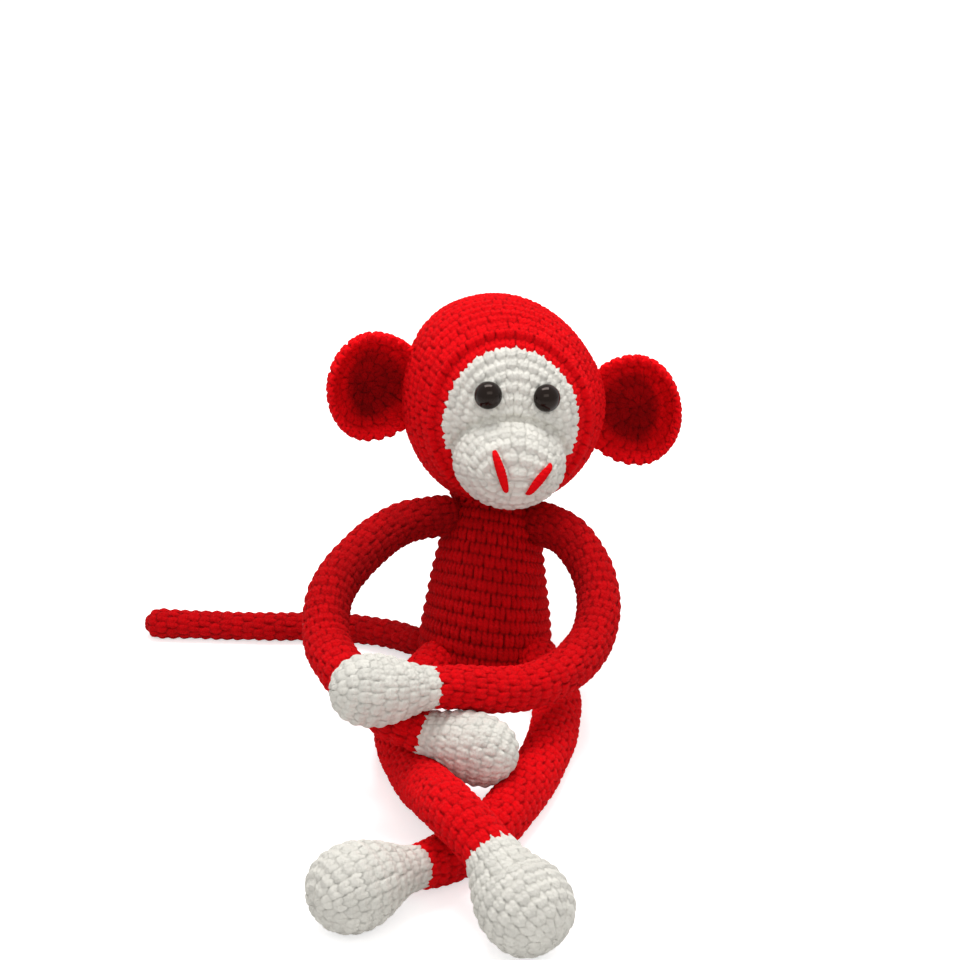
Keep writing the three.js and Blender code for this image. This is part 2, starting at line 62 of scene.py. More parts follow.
def linear(code):
    """A colour written as an sRGB hex value, turned to linear."""
    parts = [int(code[i:i + 2], 16) / 255 for i in (1, 3, 5)]
    return tuple(v / 12.92 if v <= 0.04045 else ((v + 0.055) / 1.055) ** 2.4 for v in parts)


def ease(t):
    """Rises smoothly from 0 to 1 as t does."""
    t = np.clip(t, 0.0, 1.0)
    return t * t * (3 - 2 * t)


def unit(vectors):
    """Vectors of the same directions and a length of 1."""
    size = np.linalg.norm(vectors, axis=-1, keepdims=True)
    return vectors / np.maximum(size, 1e-9)


# Sizes of the toy, in millimetres and degrees. They are the solids' own, but for the top of the neck,
# the limbs' radii, the mouth stitches and the ears' edges, which were fitted to the photograph again.

HIP_RADIUS = 30.3
HIP_HEIGHT = 9.0
SEAT_RADIUS = 24.0
SHOULDER_RADIUS = 23.0
SHOULDER_HEIGHT = 61.0
TORSO_TOP = 75.0
TORSO_TOP_RADIUS = 17.0
NECK_TOP = 86.0
NECK_CLOSING_RADIUS = 9.0
NECK_POINT = np.array((3.2, 24.0, 70.0))
# How the torso narrows from hips to shoulders: 1 is a straight cone, and more is fuller below.
TORSO_FULLNESS = 1.45
# The torso's middle line, a curve from the seat that bends at the second point towards the neck.
SPINE_POINTS = (np.array((-0.7, 0.0, 0.0)), np.array((-0.3, 0.0, 24.0)), NECK_POINT)

HEAD_CENTRE = np.array((8.0, 34.0, 117.0))
HEAD_HALF = np.array((45.5, 44.0, 47.8))
HEAD_TURN, HEAD_TILT, HEAD_ROLL = 5.0, -6.0, 5.0
# The head's mean radius, and that of its widest round, from which its stitches are counted.
HEAD_RADIUS = 46.0
HEAD_ROUND_RADIUS = 46.5
HEAD_STITCH = 4.95
# How far the crown leans to the toy's right, which is where x is negative.
CROWN_SHIFT = -5.2
# The face reaches this far from its pole, in so many rounds. They are stretched in height by a share, and
# the pole lies a few degrees low.
FACE_ANGLE = 41.4
FACE_ROUNDS = 7
FACE_STRETCH = 0.17
FACE_DROP = 2.5
# The first red round is drawn in round the face, and the second stands proud: the row, how far it moves
# and the rounds over which it does.
FOLD_ROW, FOLD_DEPTH, FOLD_SPREAD = 7.8, 0.7, 0.5
BROW_ROW, BROW_RISE, BROW_SPREAD = 8.75, 1.3, 0.45

MUZZLE_CENTRE = np.array((0.0, -37.0, -17.5))
MUZZLE_HALF = np.array((24.4, 21.0, 20.0))
# Half the chain that the muzzle's rounds start about, and the radius of its turned outline, which is then
# stretched to the half sizes.
MUZZLE_CHAIN = 8.0
MUZZLE_SHARE = 22.0
MUZZLE_ROUND = 5.9
MUZZLE_STITCH = 5.3
# How far the muzzle's seam draws the face in, where, as a share of the muzzle's half sizes, and how
# widely.
SEAM_PULL, SEAM_PLACE, SEAM_SPREAD = 1.8, 1.03, 0.07
# Each mouth stitch: its top and bottom, across and up from the head's middle, and how far it bows.
MOUTH_STITCHES = (
    ("right", (-9.3, -7.2), (-2.2, -26.6), 0.3),
    ("left", (16.3, -12.2), (5.9, -27.0), -0.3),
)
MOUTH_YARN_RADIUS = 1.95

EYE_RADIUS = 6.0
EYE_DOME = 5.2
EYE_SPACING = 12.4
EYE_RISE = 12.1
EYE_SHIFT = 0.7
EYE_SEAT = 0.9
# The steps of an eye's edge from its dome to the end of its post: how far back, and scaled by how much.
EYE_STEPS = ((0.5, 1.0), (0.25, 0.97), (0.1, 0.8), (0.0, 0.34), (8.8, 1.0))

EAR_HALF_WIDTH = 20.0
EAR_INNER_HALF_WIDTH = 27.0
EAR_HALF_HEIGHT = 24.8
EAR_DEPTH = 15.0
EAR_WALL = 4.6
EAR_OUT = 60.0
EAR_BACK = 11.0
EAR_INWARD = 16.0
EAR_ROUND = 4.9
EAR_STITCH = 5.0
EAR_SCALLOP = 1.5
# Each ear: its side and the way that points, how far it is raised, its height's scale, its lean and the
# seed of its stitches.
EARS = (
    ("right", -1, 3.8, 1.0, 0, 41),
    ("left", 1, -0.2, 1.03, 10, 42),
)

TAIL_TIP_RADIUS = 7.0
TAIL_RADIUS = 6.6
TAIL_STITCHES = 7

# The whip seam: how many stitches go round the neck, how far each reaches over torso and head, how far it
# lies over the crease and swings out from there, its yarn's radius, and the lowest height at which the
# torso's skin may meet the head's.
NECK_WHIPS = 26
WHIP_REACH, WHIP_LIFT, WHIP_SWING = 1.9, 0.3, 1.1
WHIP_YARN_RADIUS = 1.2
WHIP_LOWEST = 55.0

LEG_REST = 10.1
LIMB_ROUND = 4.9
# Where a hand or foot is widest, as a share of its length, and how square its tip is: 2 is a circle.
WIDEST_SHARE = 0.6
TIP_SQUARENESS = 2.3
# Where a limb bends, as a share of its length.
ELBOW_SHARE = 0.38
KNEE_SHARE = 0.42
# The stretch past the cuff, from and to, over which the left hand turns at its wrist.
WRIST_BEND = (1.0, 17.0)
# How far from the cuff each colour's piece closes inside the other.
CLOSING_REACH = 6.0
# How far a limb that is pressed by another stays off that one's smooth skin.
PRESS_ROOM = 0.3

# The covers' own radii at the root, the middle, the cuff and the widest of the end, which is the hand or
# foot and is end_length long. The middle's radius is reached over swell and left over fall. red_past is
# how far beyond the cuff, towards the tip, the red yarn goes on. shade is the painted shade, how much
# darker the limb's colour is made near its root, and seed is that of its stitches.
LIMBS = {
    "right_arm": {"root": 9.3, "middle": 9.9, "cuff": 8.9, "fall": 25.0, "swell": 55.0, "end": 14.4,
                  "end_length": 43.0, "red_past": 3.8, "shade": 0.34, "seed": 51},
    "left_arm": {"root": 9.7, "middle": 9.4, "cuff": 8.4, "fall": 14.0, "swell": 55.0, "end": 14.3,
                 "end_length": 43.0, "red_past": 2.0, "shade": 0.3, "seed": 53},
    "right_leg": {"root": 10.2, "middle": 10.4, "cuff": 9.9, "fall": 25.0, "swell": 40.0, "end": 17.2,
                  "end_length": 44.5, "red_past": 3.9, "shade": 0.0, "seed": 55},
    "left_leg": {"root": 10.3, "middle": 10.3, "cuff": 8.5, "fall": 25.0, "swell": 1.0, "end": 16.3,
                 "end_length": 44.5, "red_past": -1.0, "shade": 0.0, "seed": 57},
}

# The lines that the limbs and the tail lie along, each from its root.
ROUTES = {
    "right_arm": (
        (-20, 10.5, 71.1), (-36.6, 1.5, 71.4), (-52.4, -16.6, 67.2), (-65.9, -40, 57.5),
        (-66.4, -62, 46.2), (-58.3, -82.8, 42), (-47, -98.6, 38.5), (-34, -109, 34), (-22.5, -112.5, 30.4),
        (-5.5, -119, 28.2), (11.6, -124.2, 24.6),
    ),
    "left_arm": (
        (25.5, 10, 67.5), (36.7, -1.8, 66.2), (46.1, -17.8, 57.1), (48.2, -34, 48.6), (44.3, -52, 41.1),
        (34, -72, 38.8), (19.6, -88.3, 39.4), (5.3, -98.4, 42.6), (-18.5, -110, 50),
        (-41, -120.2, 54.4), (-60, -126, 57.6),
    ),
    "right_leg": (
        (-22, -18, 12), (-33, -42, LEG_REST), (-36.2, -78, LEG_REST), (-28.8, -111.5, 11.8),
        (-20.4, -144, 22.4), (-12.9, -170.2, 31.2), (-0.5, -192, 29.5), (9.8, -208, 21), (23, -226, 14.2),
    ),
    "left_leg": (
        (22.5, -16, 13), (30, -44, LEG_REST), (28.5, -72, LEG_REST), (21.8, -101.4, LEG_REST),
        (9.4, -133.6, LEG_REST), (-2, -155, LEG_REST), (-18, -171.5, 10.6), (-40.5, -191.5, 16.2),
        (-61.8, -207.5, 15.4),
    ),
    "tail": (
        (-29, 8, 8.5), (-44, 19, 7.6), (-63, 27, 6.6), (-82, 29.4, 6.2), (-105, 29.8, 6.2),
        (-134, 31.2, 6.3), (-159.5, 33, 6.4),
    ),
}

# The stage, in metres: the floor's side and the lamps' sides, and where each lamp hangs, the place that
# it lights and the setting that holds its power.
FLOOR_SIZE = 12
LAMP_SIZE = (0.7, 0.35)
LAMPS = (
    ("key_lamp", (-0.02, 0.14, 1.0), (0.0, -0.05, 0.06), "key_power"),
    ("fill_lamp", (0.12, -0.80, 0.75), (0.0, -0.05, 0.09), "fill_power"),
)
# The photograph's own camera: its place in millimetres, its angle in degrees from straight down, and the
# width of its sensor and its focal length, also in millimetres.
CAMERA_PLACE = (-2.7, -798.0, 424.8)
CAMERA_PITCH = 67.4
CAMERA_SENSOR = 36
CAMERA_LENS = 74.25

# How the two strands of a stitch stand: the strand's radius and the places of its foot and top, as
# shares of the stitch's width, the reach up and down as a share of the round, the tuck and ridge in
# mm, how full the strand stands for its width, how deep its holes are and how uneven the stitches.
PLUMP = {"strand": 0.295, "foot": 0.12, "top": 0.26, "reach": 0.45, "tuck": 0.62, "ridge": 0.35,
         "full": 0.60, "hole": 0.64, "uneven": 1.0}
SOFT = {"strand": 0.315, "foot": 0.09, "top": 0.26, "reach": 0.46, "tuck": 0.48, "ridge": 0.45,
        "full": 0.48, "hole": 0.45, "uneven": 0.8}
UPRIGHT = {"strand": 0.262, "foot": 0.19, "top": 0.26, "reach": 0.46, "tuck": 1.2, "ridge": 0.3,
           "full": 0.90, "hole": 1.3, "uneven": 0.35}
# How far a stitch strays sideways and up, and how much its strands differ in thickness, as shares.
STRAY_ACROSS, STRAY_UP, STRAY_THICK = 0.14, 0.16, 0.16
# How much a strand is tucked in at its top, as a share of how much it is at its foot.
TUCK_AT_TOP = 0.6
# How round a strand is across: 0.5 is a circle, and more lets its sides slope.
STRAND_ROUNDNESS = 0.65
# A height that is under every strand, where none has been found yet.
NO_STRAND = -9.0
# A stitch's fibres are read this many millimetres further on at most, so that no two look the same.
FIBRE_SHIFT = 7
# How many rounds a colour's edge takes to sink under the next colour's, and how far in mm it does so.
EDGE_ROUNDS = 0.4
EDGE_DROP = 1.4
# How many rounds the first one's middle takes to be drawn closed, and how far in mm that sinks it.
POLE_ROUNDS = 0.5
POLE_SINK = 0.4
# How far each round of the head and the limbs starts past the one below, in stitches.
DRIFT = 0.42


class Fabric:
    """Rounds of single crochet over a round form: the stitches in each round, and where they start.

    Each round starts drift stitches past the one below. Only those from first up to last are worked, and
    beyond them the piece sinks by drop, so that the other colour's piece covers it.
    """

    def __init__(self, counts, drift, seed, first=0, last=None, drop=0.0, style=PLUMP):
        self.counts = np.array(counts)
        self.shifts = np.cumsum(np.full(len(counts), drift))
        self.last = len(counts) if last is None else last
        self.first = first
        self.seed = seed
        self.drop = drop
        self.style = style

    def relief(self, rows, turns, around, height):
        """Height in mm over the smooth form, with what the yarn's finish reads at each point.

        Every stitch is a V of two plump strands that comes up out of the V below it.
        around is the length of a full turn and height that of a round, both in mm.
        """
        yarn = bpy.context.scene.monkey_yarn
        style = self.style
        rng = np.random.default_rng(self.seed)
        chance = rng.random((len(self.counts), int(self.counts.max()), 4))
        best = np.full(rows.shape, NO_STRAND)
        found = {name: np.zeros(rows.shape) for name in ("along", "across", "tone")}
        for step in (-1, 0, 1):
            k = np.floor(rows).astype(int) + step
            worked = (k >= self.first) & (k < self.last)
            k = np.clip(k, self.first, self.last - 1)
            stitches = self.counts[k]
            column = turns * stitches + self.shifts[k]
            width = around / stitches
            for beside in (-1, 0, 1):
                c = np.floor(column).astype(int) + beside
                luck = chance[k, c % stitches]
                uneven = style["uneven"] * (luck - 0.5)
                x = (column - c - 0.5 + STRAY_ACROSS * uneven[..., 0]) * width
                y = (rows - k - 0.5 + STRAY_UP * uneven[..., 1]) * height
                radius = style["strand"] * width * (1 + STRAY_THICK * uneven[..., 2])
                for side in (-1.0, 1.0):
                    foot_x, foot_y = side * style["foot"] * width, -style["reach"] * height
                    run_x = side * (style["top"] - style["foot"]) * width
                    run_y = 2 * style["reach"] * height
                    length2 = run_x ** 2 + run_y ** 2
                    t = ((x - foot_x) * run_x + (y - foot_y) * run_y) / length2
                    t = np.clip(t, 0.0, 1.0)
                    gap_x = x - foot_x - t * run_x
                    gap_y = y - foot_y - t * run_y
                    gap2 = gap_x ** 2 + gap_y ** 2
                    tuck = style["tuck"] * ((1 - t) ** 3 + TUCK_AT_TOP * t ** 3)
                    bulge = np.maximum(1 - gap2 / radius ** 2, 0.0) ** STRAND_ROUNDNESS
                    lobe = yarn.proud / MM - style["full"] * radius * (1 - bulge) - tuck
                    higher = worked & (gap2 < radius ** 2) & (lobe > best)
                    length = np.sqrt(length2)
                    twist = (gap_x * run_y - gap_y * run_x) / (length * radius)
                    best = np.where(higher, lobe, best)
                    read_at = t * length + FIBRE_SHIFT * luck[..., 3]
                    found["along"] = np.where(higher, read_at, found["along"])
                    found["across"] = np.where(higher, twist, found["across"])
                    found["tone"] = np.where(higher, luck[..., 3], found["tone"])
        within = rows - np.floor(rows) - 0.5
        best = best + style["ridge"] * (0.5 + 0.5 * np.cos(2 * math.pi * within) - 1)
        crease = yarn.crease / MM
        floor = -style["hole"] * crease
        if self.first > 0:
            floor = floor - self.drop * ease((self.first - 0.15 - rows) / EDGE_ROUNDS)
        if self.last < len(self.counts):
            floor = floor - self.drop * ease((rows - self.last + 0.2) / EDGE_ROUNDS)
            best = np.maximum(best, self.points_between(rows, turns, around, height))
        height_over = np.maximum(best, floor)
        if self.first == 0:
            pole = (height_over + POLE_SINK) * ease(rows / POLE_ROUNDS) - POLE_SINK
            height_over = np.where(rows < POLE_ROUNDS, pole, height_over)
        # level, the height from crease to strand top, picks the painted crease shade in the yarn's
        # material.
        found["level"] = np.clip((height_over + crease) / (crease + yarn.proud / MM), 0.0, 1.0)
        return height_over, found

    def points_between(self, rows, turns, around, height):
        """The small points of this colour between the first stitches of the next colour.

        Each is 0.42 to 0.67 of a round high, and half a stitch wide at its foot.
        """
        stitches = self.counts[self.last]
        width = around / stitches
        column = turns * stitches + self.shifts[self.last]
        chance = np.random.default_rng(self.seed + 7).random(int(stitches) + 1)
        luck = chance[np.round(column).astype(int) % stitches]
        x = (column - np.round(column) + 0.12 * (luck - 0.5)) * width
        y = (rows - self.last + 0.25) * height
        reach = (0.42 + 0.25 * luck) * height
        t = np.clip(y / reach, 0.0, 1.0)
        radius = width * (0.26 - 0.20 * t)
        away2 = x ** 2 + (y - t * reach) ** 2
        lobe = 0.25 - radius + np.sqrt(np.maximum(radius ** 2 - away2, 0.0)) - 0.3 * t
        return np.where(away2 < radius ** 2, lobe, NO_STRAND)


def stitch_counts(radii, width, least=6, step=1):
    """Whole stitches in each round, from the round's mean radius."""
    wanted = 2 * math.pi * np.asarray(radii) / (width * step)
    return np.maximum(least, np.round(wanted).astype(int) * step)


def wrapped_difference(grid):
    """Half the step between each point's two neighbours round its ring."""
    return (np.roll(grid, -1, axis=1) - np.roll(grid, 1, axis=1)) / 2


def crochet(name, place, rows, turns, fabric, material, wave=0.35, tilt=0.0, shape=None,
            start_at=None, end_at=None, depth=None):
    """A closed piece of crochet. place gives the smooth form's points for rows and turns.

    wave is the filling's unevenness in mm, and tilt how far the rounds lean, in rounds. shape, where
    given, moves the finished points, for what the piece is pressed against. An open first or last round
    is closed inside the toy, at start_at or end_at. depth is painted shade by row and turn: how much
    darker the colour is made where it is closed in, from 0 to 1, and a little under 0, painted light,
    where open.
    """
    row_grid, turn_grid = np.meshgrid(rows, turns, indexing="ij")
    base = place(row_grid, turn_grid)
    along_row = wrapped_difference(base)
    along_rise = np.gradient(base, rows, axis=0)
    normal = unit(np.cross(along_row, along_rise))
    if start_at is None:
        normal[0] = unit(normal[1].mean(axis=0) + 1e-9)
    if end_at is None:
        normal[-1] = unit(normal[-2].mean(axis=0) + 1e-9)
    # Near a pole both lengths would shrink to nothing, so they are kept from it.
    around = np.maximum(np.linalg.norm(along_row, axis=-1) * len(turns), 0.6)
    height = np.maximum(np.linalg.norm(along_rise, axis=-1), 0.5)
    worked_row = row_grid
    if tilt:
        # The lean comes in over the first four rounds and goes out over the last four.
        middle = ease(row_grid / 4) * ease((rows[-1] - row_grid) / 4)
        worked_row = row_grid + tilt * middle * np.cos(2 * math.pi * turn_grid)
    relief, found = fabric.relief(worked_row, turn_grid, around, height)
    # depth is the painted shade of closed-in places, and painted light where it is under 0.
    found["depth"] = np.zeros(row_grid.shape) + (depth(row_grid, turn_grid) if depth else 0.0)
    inside = base.reshape(-1, 3).mean(axis=0)
    if (normal[len(rows) // 2] * (base[len(rows) // 2] - inside)).sum() < 0:
        normal = -normal
    unevenness = hand_made(base, fabric.seed) * wave
    points = base + normal * (relief + unevenness)[..., None]
    if shape:
        points = shape(points)
    one_ring = (1, *points.shape[1:])
    if start_at is not None:
        points = np.concatenate((np.broadcast_to(start_at, one_ring), points))
        found = {key: np.concatenate((value[:1], value)) for key, value in found.items()}
    if end_at is not None:
        points = np.concatenate((points, np.broadcast_to(end_at, one_ring)))
        found = {key: np.concatenate((value, value[-1:])) for key, value in found.items()}
    return closed_grid(name, points, found, material)


def hand_made(points, seed):
    """Slow unevenness of the filling, from -1 to 1: six waves of 15 to 35 mm each."""
    rng = np.random.default_rng(seed + 100)
    total = np.zeros(points.shape[:-1])
    for _ in range(6):
        direction = rng.normal(size=3)
        direction = direction / np.linalg.norm(direction) * rng.uniform(0.18, 0.42)
        total += np.sin(points @ direction + rng.uniform(0, 6.28))
    return total / 6


def closed_grid(name, points, values, material):
    """A mesh from rings of points, whose first and last ring each close in one point."""
    rings, sides = points.shape[:2]
    body = points[1:-1].reshape(-1, 3)
    verts = np.vstack([points[:1].mean(axis=1), body, points[-1:].mean(axis=1)]) * MM
    last = len(verts) - 1
    j = np.arange(sides)
    after = (j + 1) % sides
    starts = 1 + sides * np.arange(rings - 3)[:, None]
    quads = np.stack([starts + j, starts + after, starts + sides + after, starts + sides + j], -1)
    quads = quads.reshape(-1, 4)
    top = 1 + sides * (rings - 3)
    fans = np.vstack([
        np.stack([np.zeros(sides, int), 1 + after, 1 + j], -1),
        np.stack([np.full(sides, last), top + j, top + after], -1),
    ])
    a, b, c, d = (verts[quads[:, i]] for i in range(4))
    volume = (np.cross(a, b) * c).sum() + (np.cross(a, c) * d).sum()
    if volume < 0:
        quads = quads[:, ::-1]
        fans = fans[:, ::-1]
    mesh = bpy.data.meshes.new(name)
    mesh.vertices.add(len(verts))
    mesh.vertices.foreach_set("co", verts.astype(np.float32).ravel())
    corners = np.concatenate([quads.ravel(), fans.ravel()])
    mesh.loops.add(len(corners))
    mesh.loops.foreach_set("vertex_index", corners.astype(np.int32))
    begins = np.concatenate([4 * np.arange(len(quads)), 4 * len(quads) + 3 * np.arange(len(fans))])
    mesh.polygons.add(len(begins))
    mesh.polygons.foreach_set("loop_start", begins.astype(np.int32))
    mesh.update(calc_edges=True)
    mesh.shade_smooth()
    for key, value in values.items():
        column = np.concatenate([value[:1].mean(axis=1), value[1:-1].ravel(), value[-1:].mean(axis=1)])
        layer = mesh.attributes.new(key, "FLOAT", "POINT")
        layer.data.foreach_set("value", column.astype(np.float32))
    mesh.materials.append(material)
    obj = bpy.data.objects.new(name, mesh)
    bpy.context.scene.collection.objects.link(obj)
    return obj


def lengths_to(points):
    """How far along a line of points each of them is."""
    steps = np.linalg.norm(np.diff(points, axis=0), axis=1)
    return np.concatenate([[0.0], np.cumsum(steps)])


def read_along(distance, marks, vectors):
    """Vectors read at a distance, from those given at the marks."""
    return np.stack([np.interp(distance, marks, vectors[:, i]) for i in range(3)], -1)


class Route:
    """A smooth line through route points, which can be read at any distance along it.

    Between two points it is a cubic that meets the next one smoothly.
    """

    def __init__(self, points):
        given = np.array(points, float)
        given = np.vstack([2 * given[0] - given[1], given, 2 * given[-1] - given[-2]])
        pieces = []
        for i in range(1, len(given) - 2):
            p0, p1, p2, p3 = given[i - 1:i + 3]
            d0, d1, d2 = (math.sqrt(np.linalg.norm(b - a)) for a, b in ((p0, p1), (p1, p2), (p2, p3)))
            m1 = ((p1 - p0) / d0 - (p2 - p0) / (d0 + d1) + (p2 - p1) / d1) * d1
            m2 = ((p2 - p1) / d1 - (p3 - p1) / (d1 + d2) + (p3 - p2) / d2) * d1
            t = np.linspace(0, 1, 40, endpoint=False)[:, None]
            c2 = -3 * p1 + 3 * p2 - 2 * m1 - m2
            c3 = 2 * p1 - 2 * p2 + m1 + m2
            pieces.append(p1 + m1 * t + c2 * t ** 2 + c3 * t ** 3)
        self.line = np.vstack([*pieces, given[-2:-1]])
        self.marks = lengths_to(self.line)
        self.length = self.marks[-1]

    def at(self, distance):
        """Points and directions at distances along the line, which runs on straight past its ends."""
        inside = np.clip(distance, 0.0, self.length)
        beside = 0.4
        before = read_along(np.clip(inside - beside, 0.0, self.length), self.marks, self.line)
        after = read_along(np.clip(inside + beside, 0.0, self.length), self.marks, self.line)
        direction = unit(after - before)
        point = read_along(inside, self.marks, self.line)
        return point + direction * (distance - inside)[..., None], direction


def tube_places(route, distance, radius, turn):
    """Points round a route, at a distance along it and a radius from it."""
    middle, direction = route.at(distance)
    up = np.array((0.0, 0.0, 1.0))
    normal = unit(up - direction * (direction @ up)[..., None])
    side = np.cross(direction, normal)
    angle = 2 * math.pi * turn
    ring = side * np.cos(angle)[..., None] + normal * np.sin(angle)[..., None]
    return middle + ring * radius[..., None]


class Outline:
    """A turned outline, given as distances along an axis and radii, read by its own arc length."""

    def __init__(self, distances, radii):
        self.distances = np.asarray(distances, float)
        self.radii = np.asarray(radii, float)
        steps = np.hypot(np.diff(self.distances), np.diff(self.radii))
        self.marks = np.concatenate([[0.0], np.cumsum(steps)])
        self.length = self.marks[-1]

    def at(self, arc):
        """The distance along the axis, and the radius there."""
        return np.interp(arc, self.marks, self.distances), np.interp(arc, self.marks, self.radii)

    def mark_at(self, distance):
        """Arc length at which the outline first reaches a distance along its axis."""
        return self.marks[np.argmin(np.abs(self.distances - distance))]


def samples(first, last, per_row):
    """Row values from first to last, evenly spaced."""
    return np.linspace(first, last, int(round((last - first) * per_row)) + 1)


def ring_of(count):
    """Shares of a full turn for that many points round a ring."""
    return np.arange(count) / count


def spine_at(height):
    """The torso's middle line, which leans back towards the neck, read by its own length."""
    t = np.linspace(0, 1, 400)[:, None]
    a, b, c = SPINE_POINTS
    line = (1 - t) ** 2 * a + 2 * t * (1 - t) * b + t ** 2 * c
    marks = lengths_to(line)
    inside = np.clip(height, 0.0, marks[-1])
    beside = 0.3
    below = read_along(np.maximum(inside - beside, 0.0), marks, line)
    above = read_along(np.minimum(inside + beside, marks[-1]), marks, line)
    direction = unit(above - below)
    return read_along(inside, marks, line) + direction * (height - inside)[..., None], direction


def torso_radius(height):
    """The torso's radius, which turns in to the flat seat, narrows upwards and rounds off at the top."""
    low = SEAT_RADIUS + (HIP_RADIUS - SEAT_RADIUS) * np.sqrt(
        1 - (1 - np.clip(height / HIP_HEIGHT, 0, 1)) ** 2)
    share = np.clip((height - HIP_HEIGHT) / (SHOULDER_HEIGHT - HIP_HEIGHT), 0, 1)
    middle = HIP_RADIUS - (HIP_RADIUS - SHOULDER_RADIUS) * share ** TORSO_FULLNESS
    top = np.clip((height - SHOULDER_HEIGHT) / (TORSO_TOP - SHOULDER_HEIGHT), 0, 1)
    high = TORSO_TOP_RADIUS + (SHOULDER_RADIUS - TORSO_TOP_RADIUS) * np.sqrt(1 - top ** 2)
    return np.where(height < HIP_HEIGHT, low, np.where(height < SHOULDER_HEIGHT, middle, high))


def torso_outline():
    """The torso's turned outline, which ends in a short neck that goes up into the head."""
    heights = np.concatenate([
        [0.0], HIP_HEIGHT * (1 - np.cos(np.linspace(0, math.pi / 2, 24))),
        np.linspace(HIP_HEIGHT, TORSO_TOP, 80)[1:], [NECK_TOP, NECK_TOP],
    ])
    radii = np.concatenate([[0.0], torso_radius(heights[1:-1]), [NECK_CLOSING_RADIUS]])
    return Outline(heights, radii)


def torso_ring(height, radius, turn):
    """Points round the torso's middle line, with the directions that they lie in."""
    middle, direction = spine_at(height)
    sideways = np.array((1.0, 0.0, 0.0))
    normal = unit(sideways - direction * (direction @ sideways)[..., None])
    side = np.cross(direction, normal)
    angle = 2 * math.pi * turn
    ring = normal * np.cos(angle)[..., None] + side * np.sin(angle)[..., None]
    return middle + ring * radius[..., None], ring


def head_matrix():
    """The head's turn, tilt and roll as the columns of its own axes."""
    turn = Matrix.Rotation(math.radians(HEAD_TURN), 3, "Z")
    tilt = Matrix.Rotation(math.radians(HEAD_TILT), 3, "X")
    roll = Matrix.Rotation(math.radians(HEAD_ROLL), 3, "Y")
    return np.array(turn @ tilt @ roll)


HEAD_AXES = head_matrix()


def from_head(points):
    """Points of the head's own frame, whose face looks along -Y, in the toy's frame."""
    return HEAD_CENTRE + points @ HEAD_AXES.T


def crown_lean(z):
    """How far the crown leans to the side at a height over the head's middle."""
    return CROWN_SHIFT * ease(z / HEAD_HALF[2])


def head_surface(direction):
    """Where rays from the head's centre meet its skin, in the head's own frame.

    The crown's lean depends on the height that a ray reaches, so it is settled in 12 steps.
    """
    reach = np.full(direction.shape[:-1], HEAD_RADIUS)
    for _ in range(12):
        lean = crown_lean(reach * direction[..., 2])
        shifted = direction.copy()
        shifted[..., 0] -= lean / reach
        reach = 1 / np.linalg.norm(shifted / HEAD_HALF, axis=-1)
    return direction * reach[..., None]


def face_direction(angle, turn):
    """Directions at an angle in degrees from the face's pole.

    The rounds are stretched in height and their pole lies a little low, which both fade behind the face.
    """
    a = np.radians(angle)
    t = 2 * math.pi * turn
    stretch = 1 + FACE_STRETCH * (1 - ease((angle - 58) / 50))
    d = np.stack([np.sin(a) * np.cos(t), -np.cos(a), stretch * np.sin(a) * np.sin(t)], -1)
    drop = math.radians(FACE_DROP) * (1 - ease((angle - 58) / 90))
    y = d[..., 1] * np.cos(drop) - d[..., 2] * np.sin(drop)
    z = d[..., 1] * np.sin(drop) + d[..., 2] * np.cos(drop)
    return unit(np.stack([d[..., 0], y, z], -1))


ROW_ANGLE = FACE_ANGLE / FACE_ROUNDS
HEAD_ROUNDS = int(round(180 / ROW_ANGLE))


def row_angle(row):
    """A row's angle in degrees from the face's pole: 180 is at the last round, behind."""
    past_face = FACE_ANGLE + (row - FACE_ROUNDS) * (180 - FACE_ANGLE) / (HEAD_ROUNDS - FACE_ROUNDS)
    return np.where(row < FACE_ROUNDS, row * ROW_ANGLE, past_face)


def head_place(row, turn):
    """Points of the head's smooth skin for rows and turns about the face's pole."""
    points = head_surface(face_direction(row_angle(row), turn))
    brow = BROW_RISE * np.exp(-((row - BROW_ROW) / BROW_SPREAD) ** 2)
    fold = FOLD_DEPTH * np.exp(-((row - FOLD_ROW) / FOLD_SPREAD) ** 2)
    return from_head(points * (1 + (brow - fold) / HEAD_RADIUS)[..., None])


def head_counts():
    """Stitches in each round of the face and head, in sixes, as a ball is increased."""
    angles = np.radians(row_angle(np.arange(HEAD_ROUNDS) + 0.5))
    return stitch_counts(HEAD_ROUND_RADIUS * np.sin(angles), HEAD_STITCH, step=6)


def limb_radius(distance, length, sizes):
    """A limb's radius at a distance from its root, on to the round tip of its hand or foot."""
    cuff = length - sizes["end_length"]
    swell = ease(distance / sizes["swell"])
    fall = ease(1 + (distance - cuff) / sizes["fall"])
    limb = sizes["root"] + (sizes["middle"] - sizes["root"]) * swell
    limb = limb + (sizes["cuff"] - sizes["middle"]) * fall
    share = (distance - cuff) / sizes["end_length"]
    near = sizes["cuff"] + (sizes["end"] - sizes["cuff"]) * ease(share / WIDEST_SHARE)
    past = np.clip((share - WIDEST_SHARE) / (1 - WIDEST_SHARE), 0, 1)
    far = sizes["end"] * (1 - past ** TIP_SQUARENESS) ** (1 / TIP_SQUARENESS)
    return np.where(distance <= cuff, limb, np.where(share < WIDEST_SHARE, near, far))


